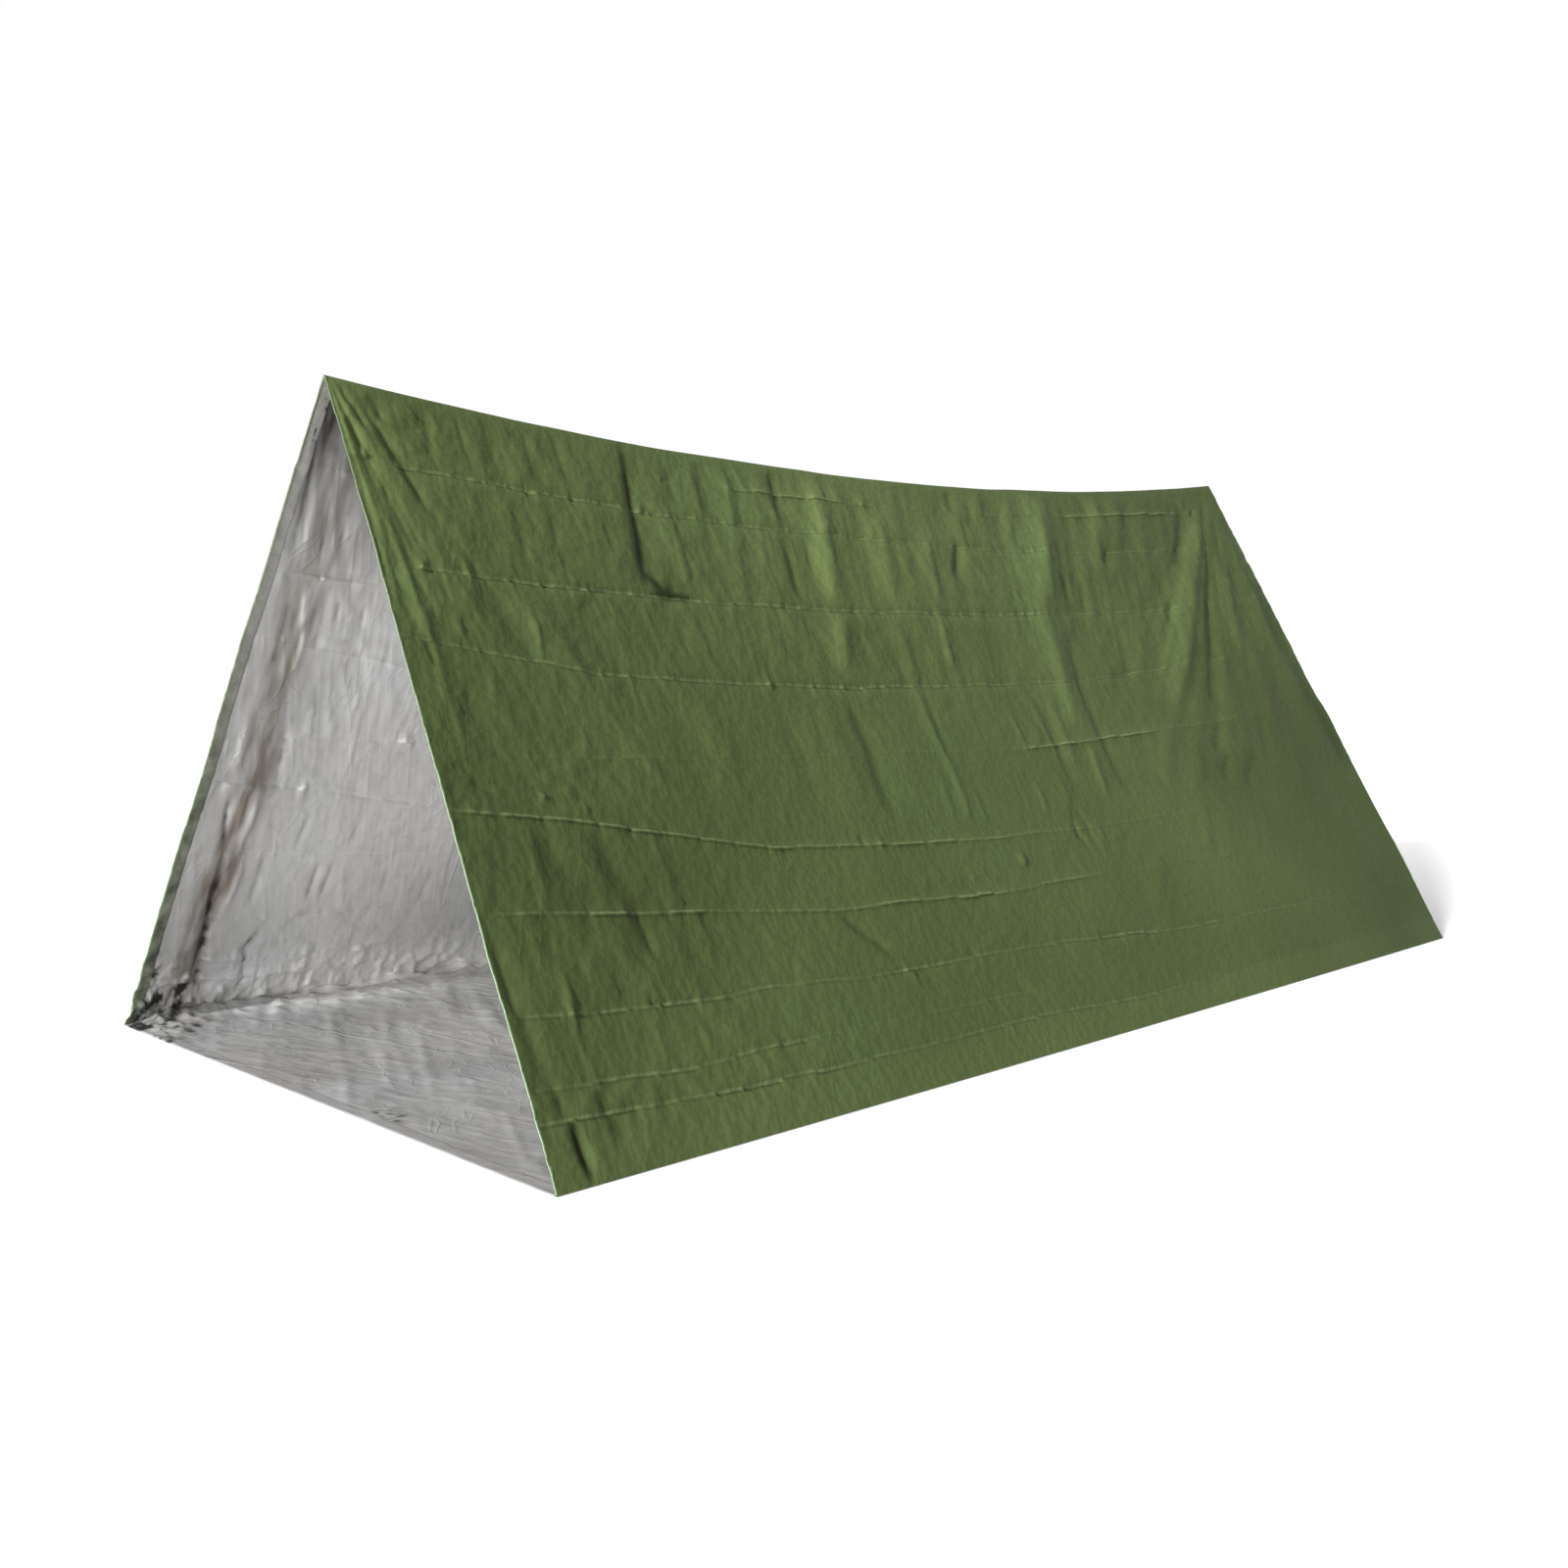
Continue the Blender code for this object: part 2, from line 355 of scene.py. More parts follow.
# %% Helpers for wrinkles
FACET_BEND = 1.2
FACET_EDGE = 0.10
FACET_PATCHES = (0.45, 0.62)


def ridged(material, value, sharpness):
    """Turns smooth noise into creases: a line of 1 wherever the noise crosses its middle."""
    folded = node(material, "ShaderNodeMath", operation="ABSOLUTE")
    join(material, combine(material, "SUBTRACT", value, 0.5), folded.inputs[0])
    return spread(material, folded.outputs[0], 0, sharpness, 1, 0)


def facet_edges(material, place, scale):
    """The straight lines between flat facets. They bend a little, and fade in and out."""
    facets = node(material, "ShaderNodeTexVoronoi", feature="DISTANCE_TO_EDGE")
    facets.inputs["Scale"].default_value = scale
    bent = noise(material, place, scale * 0.5, detail=1)
    push = node(material, "ShaderNodeVectorMath", operation="ADD")
    join(material, place, push.inputs[0])
    join(material, spread(material, bent, 0, 1, 0, FACET_BEND / scale), push.inputs[1])
    join(material, push.outputs[0], facets.inputs["Vector"])
    edge = spread(material, facets.outputs["Distance"], 0, FACET_EDGE, 1, 0)
    patches = spread(material, noise(material, place, scale * 0.35, detail=1), *FACET_PATCHES)
    return combine(material, "MULTIPLY", edge, patches)


def dented(material, place, scale):
    """Shallow dents that meet in sharp lines."""
    dents = node(material, "ShaderNodeTexVoronoi", feature="F1", distance="MANHATTAN")
    dents.inputs["Scale"].default_value = scale
    join(material, place, dents.inputs["Vector"])
    return dents.outputs["Distance"]


def bump(material, shader, layers):
    """Stacks bump layers: each is a height, its depth in metres and its strength."""
    below = None
    for height, depth, strength in layers:
        layer = node(material, "ShaderNodeBump")
        layer.inputs["Strength"].default_value = strength
        layer.inputs["Distance"].default_value = depth
        join(material, height, layer.inputs["Height"])
        if below:
            join(material, below, layer.inputs["Normal"])
        below = layer.outputs["Normal"]
    join(material, below, shader.inputs["Normal"])


print("wrinkle helpers ready")

# %% [markdown]
# ## The green film
# The outer ply is green polyethylene. Its colour hardly changes, so the finish comes from gloss and
# from a slight drift between a warmer and a cooler green. Its tone carries painted light and shade.
# The pale line above each packing crease is stress whitening and a painted highlight together:
# where film has been folded sharply it turns paler. The wrinkles below leave these in mesh attributes.

# %% Green film
GREEN_WARM = (0.082, 0.109, 0.039)
GREEN_COOL = (0.076, 0.109, 0.039)
GREEN_DARK = (0.061, 0.081, 0.028)
GREEN_WORN_AND_HIGHLIGHT = (0.200, 0.260, 0.120)
GREEN_GLOSS = 0.05

green_film, shader = new_material("green_film")
drift = noise(green_film, film_place(green_film), scale=2.2, detail=2)
base = blend_colours(green_film, spread(green_film, drift, 0.38, 0.62), GREEN_WARM, GREEN_COOL)
mottle = noise(green_film, film_place(green_film), scale=22, detail=4)
mottled = spread(green_film, mottle, 0.25, 0.75, to_high=0.22)
darker = blend_colours(green_film, mottled, base, GREEN_DARK)
# The tone darkens and lightens the green with painted light and shade; the pale crease lines are stress
# whitening with a painted highlight
even = toned(green_film, darker, attribute(green_film, "tone"))
coloured = blend_colours(green_film, attribute(green_film, "worn_and_highlight"), even, GREEN_WORN_AND_HIGHLIGHT)
join(green_film, coloured, shader.inputs["Base Color"])
sheen = noise(green_film, film_place(green_film), scale=9, detail=3)
rough = spread(green_film, sheen, 0.3, 0.7, to_low=0.42, to_high=0.54)
join(green_film, rough, shader.inputs["Roughness"])
shader.inputs["Specular IOR Level"].default_value = GREEN_GLOSS
fine = facet_edges(green_film, film_place(green_film, 10, (1, 0.6, 1)), 30)
dents = dented(green_film, film_place(green_film, 8), 70)
grain = noise(green_film, film_place(green_film), scale=420, detail=2)
bump(green_film, shader, ((fine, 0.0005, 0.4), (dents, 0.0015, 0.40), (grain, 0.00006, 0.3)))
print("green film mixed")

# %% [markdown]
# ## The silver film
# The inner ply carries a vapour of aluminium. It is a metal mirror that countless small wrinkles
# have made dull, so the shader is partly metallic, with a medium roughness and a strong fine
# crinkle. Its tone carries painted light and shade, and where the tone is low the film is also
# rougher and less metallic. Brown patches are a painted reflection with painted shade, and the
# near-black specks are painted shade and dark reflections. A drift between slightly warmer and
# cooler metal breaks up the grey, as on handled foil.

# %% Silver film
SILVER_COOL = (0.750, 0.752, 0.757)
SILVER_WARM = (0.776, 0.760, 0.732)
SILVER_DULL = (0.580, 0.568, 0.550)
SILVER_PAINTED_REFLECTION = (0.235, 0.193, 0.155)
SILVER_PAINTED_DARK = (0.032, 0.030, 0.026)
LOW_TONE = 0.40
HIGH_TONE = 0.70
LOW_TONE_METAL = 0.20
HIGH_TONE_METAL = 0.55
LOW_TONE_ROUGHNESS = 0.26

silver_film, shader = new_material("silver_film")
drift = noise(silver_film, film_place(silver_film), scale=3.5, detail=3)
base = blend_colours(silver_film, spread(silver_film, drift, 0.35, 0.65), SILVER_COOL, SILVER_WARM)
smudges = noise(silver_film, film_place(silver_film), scale=30, detail=5, distortion=0.5)
smudged = spread(silver_film, smudges, 0.50, 0.80, to_high=0.6)
dulled = blend_colours(silver_film, smudged, base, SILVER_DULL)
# Brown: a painted reflection with painted shade. Near black: painted shade and dark reflections.
dimmed = blend_colours(silver_film, attribute(silver_film, "painted_shade_and_reflection"), dulled, SILVER_PAINTED_REFLECTION)
specked = blend_colours(silver_film, attribute(silver_film, "painted_dark"), dimmed, SILVER_PAINTED_DARK)
tone = attribute(silver_film, "tone")
join(silver_film, toned(silver_film, specked, tone), shader.inputs["Base Color"])
extra_roughness = spread(silver_film, tone, LOW_TONE, HIGH_TONE, LOW_TONE_ROUGHNESS, 0)
smooth = spread(silver_film, smudges, 0.3, 0.7, to_low=0.36, to_high=0.46)
join(silver_film, combine(silver_film, "ADD", smooth, extra_roughness), shader.inputs["Roughness"])
metal = spread(silver_film, tone, LOW_TONE, HIGH_TONE, LOW_TONE_METAL, HIGH_TONE_METAL)
join(silver_film, metal, shader.inputs["Metallic"])
strokes_place = film_place(silver_film, -14, (1, 0.12, 1))
strokes = ridged(silver_film, noise(silver_film, strokes_place, 40, 1, 0.1), 0.16)
facets = facet_edges(silver_film, film_place(silver_film, -12, (1, 0.32, 1)), 15)
small_facets = facet_edges(silver_film, film_place(silver_film, 24, (1, 0.6, 1)), 34)
billows = noise(silver_film, film_place(silver_film, -12, (1, 0.30, 1)), 22, 2, 0.1)
grain = noise(silver_film, film_place(silver_film), scale=240, detail=2)
bump(
    silver_film,
    shader,
    (
        (billows, 0.0040, 0.5),
        (facets, 0.0017, 0.6),
        (small_facets, 0.0006, 0.6),
        (strokes, 0.0008, 0.5),
        (grain, 0.00008, 0.3),
    ),
)
print("silver film mixed")

# %% [markdown]
# ## The hem's film
# Along each cut edge the green film is turned in over the silver one. The folded lip is plain
# green, palest low down. The wider part inside is silvery near the ridge, and lower down it carries
# dark and grey streaks of painted shade and dark reflections.

# %% Hem film
HEM_LIP = (0.125, 0.190, 0.090)
HEM_LIP_HIGH = (0.078, 0.112, 0.045)
HEM_SILVER = (0.270, 0.265, 0.245)
HEM_GREY = (0.170, 0.180, 0.135)
HEM_DARK = (0.045, 0.050, 0.036)
HEM_ROUGHNESS = 0.42

hem_film, shader = new_material("pale_green_hem")
low = spread(hem_film, attribute(hem_film, "down"), 0.22, 0.62)
streaks = noise(hem_film, film_place(hem_film), scale=26, detail=4)
# Painted shade and dark reflections: dark and grey streaks on the lower part inside
streaked = blend_colours(hem_film, spread(hem_film, streaks, 0.35, 0.65), HEM_DARK, HEM_GREY)
inside = blend_colours(hem_film, low, HEM_SILVER, streaked)
lip = blend_colours(hem_film, low, HEM_LIP_HIGH, HEM_LIP)
across = blend_colours(hem_film, attribute(hem_film, "lip"), inside, lip)
join(hem_film, across, shader.inputs["Base Color"])
shader.inputs["Roughness"].default_value = HEM_ROUGHNESS
fine = ridged(hem_film, noise(hem_film, film_place(hem_film), 80, 3, 0.6), 0.10)
bump(hem_film, shader, ((fine, 0.0005, 0.3),))
print("hem film mixed")

# %% [markdown]
# ## Smooth noise
# Wrinkles that no table lists come from noise: random heights on a lattice, joined smoothly. Taking
# its distance from zero folds it into sharp lines, which is how crumpled film looks.

# %% Noise on the film
LATTICE = 128
LATTICE_START = (37, 53)
FIRST_TURN = 0.6
NEXT_TURN = 1.1
NEXT_WEIGHT = 0.55
NOISE_GAIN = 1.6
CRINKLE_WIDTH = 0.35
CRINKLE_SHARPNESS = 1.5


def ease(distance, reach):
    """A smooth rise from 0, at no distance, to 1 at the reach and past it."""
    share = np.clip(distance / reach, 0, 1)
    return share * share * (3 - 2 * share)


def swell(share):
    """Nothing at either end of a run, and 1 at its middle."""
    return 4 * share * (1 - share)


def soft_noise(x, y, size, seed, octaves=3):
    """Random heights from about -1 to 1, with lumps of about this size in metres."""
    total, weight, sum_of_weights = 0, 1.0, 0.0
    for octave in range(octaves):
        lattice = np.random.default_rng(seed + octave).uniform(-1, 1, (LATTICE, LATTICE))
        turn = FIRST_TURN + NEXT_TURN * octave
        u = (x * math.cos(turn) + y * math.sin(turn)) / size * 2**octave + LATTICE_START[0]
        v = (y * math.cos(turn) - x * math.sin(turn)) / size * 2**octave + LATTICE_START[1]
        column, row = np.floor(u).astype(int), np.floor(v).astype(int)
        fu, fv = ease(u - column, 1), ease(v - row, 1)
        c0, c1 = column % LATTICE, (column + 1) % LATTICE
        r0, r1 = row % LATTICE, (row + 1) % LATTICE
        low = lattice[r0, c0] * (1 - fu) + lattice[r0, c1] * fu
        high = lattice[r1, c0] * (1 - fu) + lattice[r1, c1] * fu
        total = total + weight * (low * (1 - fv) + high * fv)
        sum_of_weights += weight
        weight *= NEXT_WEIGHT
    return total / sum_of_weights * NOISE_GAIN


def crinkle(x, y, size, seed):
    """Sharp lines of 0 to 1 with flat film between them."""
    lines = 1 - np.abs(soft_noise(x, y, size, seed)) / CRINKLE_WIDTH
    return np.clip(lines, 0, 1) ** CRINKLE_SHARPNESS


print("noise ready")

# %% [markdown]
# ## One fold
# A fold follows a path down the film. Its left and right flanks have widths of their own, because
# hanging film folds over like a wave: one long easy flank, and one short steep flank. Heights and
# widths are in millimetres. A path counts film steps of 1.5 mm: how far along the tent, and down.

# %% Press a fold into the film
FOLD_REACH = 2.6
FOLD_TAPER = 0.30
FOLD_PINCH = 1.6


def press_fold(relief, x, y, path, height, left, right, taper=FOLD_TAPER, pinch=FOLD_PINCH):
    """Adds one fold to the relief, in place. Columns far from the path are skipped."""
    points = np.array(path, float) * FILM_STEP
    left, right = left * MM, right * MM
    reach = FOLD_REACH * max(left, right)
    columns = np.nonzero(
        (x.max(0) > points[:, 0].min() - reach) & (x.min(0) < points[:, 0].max() + reach)
    )[0]
    if not len(columns):
        return
    part = slice(columns[0], columns[-1] + 1)
    px, py = x[:, part], y[:, part]
    steps = np.diff(points, axis=0)
    lengths = np.hypot(*steps.T)
    nearest = np.full(px.shape, np.inf)
    side = np.zeros(px.shape)
    gone = np.zeros(px.shape)
    before = 0.0
    for start, step, length in zip(points, steps, lengths):
        rx, ry = px - start[0], py - start[1]
        share = (rx * step[0] + ry * step[1]) / length**2
        held = np.clip(share, 0, 1)
        away = np.hypot(rx - held * step[0], ry - held * step[1])
        closer = away < nearest
        nearest = np.where(closer, away, nearest)
        side = np.where(closer, step[0] * ry - step[1] * rx, side)
        gone = np.where(closer, before + held * length, gone)
        before += length
    gone = gone / lengths.sum()
    width = np.where(side > 0, left, right)
    shape = np.exp(-((nearest / width) ** pinch))
    relief[:, part] += height * MM * (shape * ease(gone, taper) * ease(1 - gone, taper))


def press_knot(relief, x, y, place, height, radius):
    """Adds the small point where two creases cross."""
    away = np.hypot(x - place[0] * FILM_STEP, y - place[1] * FILM_STEP) / (radius * MM)
    relief += height * MM * np.exp(-(away**FOLD_PINCH))


print("fold tools ready")

# %% [markdown]
# ## Packing creases
# The tent was folded flat and then small. Ten level creases cross both walls. Each is broken, and
# fades and returns along the film, so it has a path, a side (1 out, -1 in) and a list of its
# strengths along it. They wander down a little towards the middle, as the ridge sags.

# %% The level packing creases
PACKING_CREASES = (
    {
        "path": ((0, 44), (600, 47), (1200, 46), (1600, 48)),
        "side": 1,
        "strengths": (
            (0, 0), (500, 0), (520, 0.7), (680, 0.7), (700, 0.1), (1150, 0.1), (1180, 0.6),
            (1420, 0.5), (1500, 0.1), (1600, 0),
        ),
    },
    {
        "path": ((0, 92), (48, 94), (430, 97), (800, 104), (1390, 112), (1600, 112)),
        "side": -1,
        "strengths": (
            (0, 0.2), (45, 0.3), (52, 1.4), (430, 1.3), (450, 0.6), (900, 0.45), (1390, 0.4),
            (1450, 0.1), (1600, 0),
        ),
    },
    {
        "path": ((0, 209), (48, 209), (400, 210), (1320, 212), (1600, 212)),
        "side": -1,
        "strengths": (
            (0, 0.1), (40, 0.2), (60, 1.2), (400, 1.2), (620, 1), (960, 0.8), (1150, 0.6),
            (1330, 0.4), (1400, 0.1), (1600, 0.1),
        ),
    },
    {
        "path": (
            (0, 287), (55, 290), (163, 303), (215, 311), (560, 318), (1040, 318), (1320, 305),
            (1600, 300),
        ),
        "side": -1,
        "strengths": (
            (0, 0.2), (50, 0.4), (150, 0.5), (215, 0.9), (690, 0.9), (760, 0.6), (1040, 0.6),
            (1320, 0.3), (1450, 0.1), (1600, 0),
        ),
    },
    {
        "path": ((0, 405), (600, 408), (860, 413), (1120, 405), (1600, 398)),
        "side": 1,
        "strengths": (
            (0, 0), (80, 0), (100, 0.1), (840, 0.1), (862, 0.8), (1120, 0.8), (1150, 0.2),
            (1600, 0),
        ),
    },
    {
        "path": (
            (0, 457), (40, 462), (100, 468), (220, 488), (370, 512), (540, 523), (690, 529),
            (1000, 532), (1600, 532),
        ),
        "side": 1,
        "strengths": (
            (0, 0.3), (40, 0.8), (150, 0.8), (220, 0.8), (400, 0.7), (660, 0.7), (700, 0.5),
            (860, 0.2), (1000, 0.1), (1600, 0),
        ),
    },
    {
        "path": (
            (0, 553), (50, 557), (140, 565), (260, 573), (415, 589), (510, 591), (660, 598),
            (830, 596), (1200, 602), (1600, 604),
        ),
        "side": 1,
        "strengths": (
            (0, 0.2), (50, 0.8), (230, 0.8), (300, 0.4), (350, 0.5), (420, 0.8), (660, 0.8),
            (700, 0.4), (780, 0.5), (830, 0.6), (880, 0.1), (1600, 0),
        ),
    },
    {
        "path": (
            (0, 645), (75, 652), (200, 658), (290, 658), (435, 667), (700, 669), (830, 677),
            (1000, 688), (1200, 692), (1600, 696),
        ),
        "side": -1,
        "strengths": (
            (0, 0.1), (70, 0.6), (290, 0.9), (320, 0.3), (430, 0.6), (600, 0.7), (840, 0.8),
            (1100, 0.5), (1250, 0.2), (1600, 0.1),
        ),
    },
    {
        "path": ((0, 708), (55, 711), (170, 718), (310, 715), (700, 720), (1600, 724)),
        "side": -1,
        "strengths": (
            (0, 0.1), (50, 0.7), (310, 0.7), (330, 0.1), (500, 0.1), (560, 0.3), (620, 0.3),
            (700, 0), (1600, 0),
        ),
    },
    {
        "path": (
            (0, 736), (50, 738), (200, 745), (320, 748), (500, 750), (600, 748), (830, 758),
            (1200, 762), (1600, 764),
        ),
        "side": -1,
        "strengths": (
            (0, 0.3), (40, 0.9), (320, 1), (360, 0.5), (600, 0.5), (830, 0.5), (900, 0.2),
            (1600, 0.1),
        ),
    },
)
print(len(PACKING_CREASES), "level creases")

# %% [markdown]
# ## Broken creases
# No crease is one long line. It is a row of dashes, each a little above or below the next and
# of its own strength, and it nearly fades out between two of them.

# %% Dashes of a crease
DASH_LENGTH = 68
DASH_JOG = 1.6
DASH_MEAN = 0.95
DASH_SPREAD = 0.45
GAP_STRENGTH = 0.15
GAP_REACH = 0.10
CREASE_TILT = 1.0
SCATTER = (12.9898, 78.233, 43758.5453)


def crease_dashes(crease, x):
    """Each crease is a row of dashes. Gives each place its dash, and its nearness to a gap."""
    first = crease["path"][0][1]
    rank = x / (DASH_LENGTH * MM) + 0.8 * soft_noise(x, 0 * x + first, 0.2, 3) + first
    near_gap = np.abs(rank - np.round(rank))
    return np.floor(rank), near_gap


def dash_value(dash, seed):
    """A chance number from -1 to 1 for each dash."""
    scattered = np.abs(np.sin(dash * SCATTER[0] + seed * SCATTER[1])) * SCATTER[2]
    return 2 * np.modf(scattered)[0] - 1


def crease_down(crease, x):
    """How far down the film a crease lies at places along it, in metres."""
    along, down = np.array(crease["path"], float).T * FILM_STEP
    dash, _ = crease_dashes(crease, x)
    jog = DASH_JOG * MM * dash_value(dash, 1)
    tilt = CREASE_TILT * MM * soft_noise(x, 0 * x + crease["path"][0][1], 0.05, 9)
    return np.interp(x, along, down) + jog + tilt


def crease_strength(crease, x, number):
    """How sharp a crease is at places along it: its list, changed from dash to dash."""
    along, strength = np.array(crease["strengths"], float).T
    dash, near_gap = crease_dashes(crease, x)
    broken = DASH_MEAN + DASH_SPREAD * dash_value(dash, number)
    whole = GAP_STRENGTH + (1 - GAP_STRENGTH) * ease(near_gap, GAP_REACH)
    return np.interp(x, along * FILM_STEP, strength) * broken * whole


print("creases are broken into dashes of", DASH_LENGTH, "mm")

# %% [markdown]
# ## Laying out the mesh
# A crease is only a millimetre or two wide, so the rows of the mesh follow the creases and crowd
# together there. Between creases they are spread evenly, and closer at the left wall's crumpled
# foot. The columns are closer at the front, where the camera stands, than at the rear.

# %% Columns and rows
RIGHT_COLUMNS = 580
RIGHT_CROWDING = 0.30
LEFT_COLUMNS = 530
LEFT_CROWDING = 0.42
ROWS_NEAR_A_CREASE = (-5.5, -2.0, 0.0, 2.0, 5.5)
ROW_SPACING = 10.5
LEFT_FOOT_SPACING = 5.0
FOOT_ZONE = 1.03


def columns_along(count, crowding):
    """Shares along the tent, closer together at the front."""
    even = np.linspace(0, 1, count)
    return even - crowding * even * (1 - even)


def wall_layout(count, crowding, foot_spacing):
    """Places on a wall's film: a row on each crease, rows beside it, and even rows between."""
    x = columns_along(count, crowding) * TENT_LENGTH
    lines = [np.full_like(x, 0.0)]
    for crease in PACKING_CREASES:
        for beside in ROWS_NEAR_A_CREASE:
            lines.append(crease_down(crease, x) + beside * MM)
    lines.append(np.full_like(x, SLOPE_LENGTH))
    rows = [lines[0]]
    for above, below in zip(lines, lines[1:]):
        gap = float(np.mean(below - above))
        spacing = foot_spacing if np.mean(below) > FOOT_ZONE else ROW_SPACING
        parts = max(1, round(gap / (spacing * MM)))
        for part in range(1, parts + 1):
            rows.append(above + (below - above) * part / parts)
    y = np.array(rows)
    print("a wall has", y.shape, "points,", 2 * y.size, "triangles at most")
    return np.broadcast_to(x, y.shape), y


right_x, right_y = wall_layout(RIGHT_COLUMNS, RIGHT_CROWDING, ROW_SPACING)
left_x, left_y = wall_layout(LEFT_COLUMNS, LEFT_CROWDING, LEFT_FOOT_SPACING)

# %% [markdown]
# ## Folds of the right wall
# The film hangs from the ridge in soft waves that lean towards the front on their way down. A fan
# of folds leaves the rear apex and a smaller one leaves the front apex, because the film is
# pulled tight between the apex and the foot. The lower part is nearly flat. Each row is a path,
# a height (below 0 for a groove) and the widths of the left and the right flank.

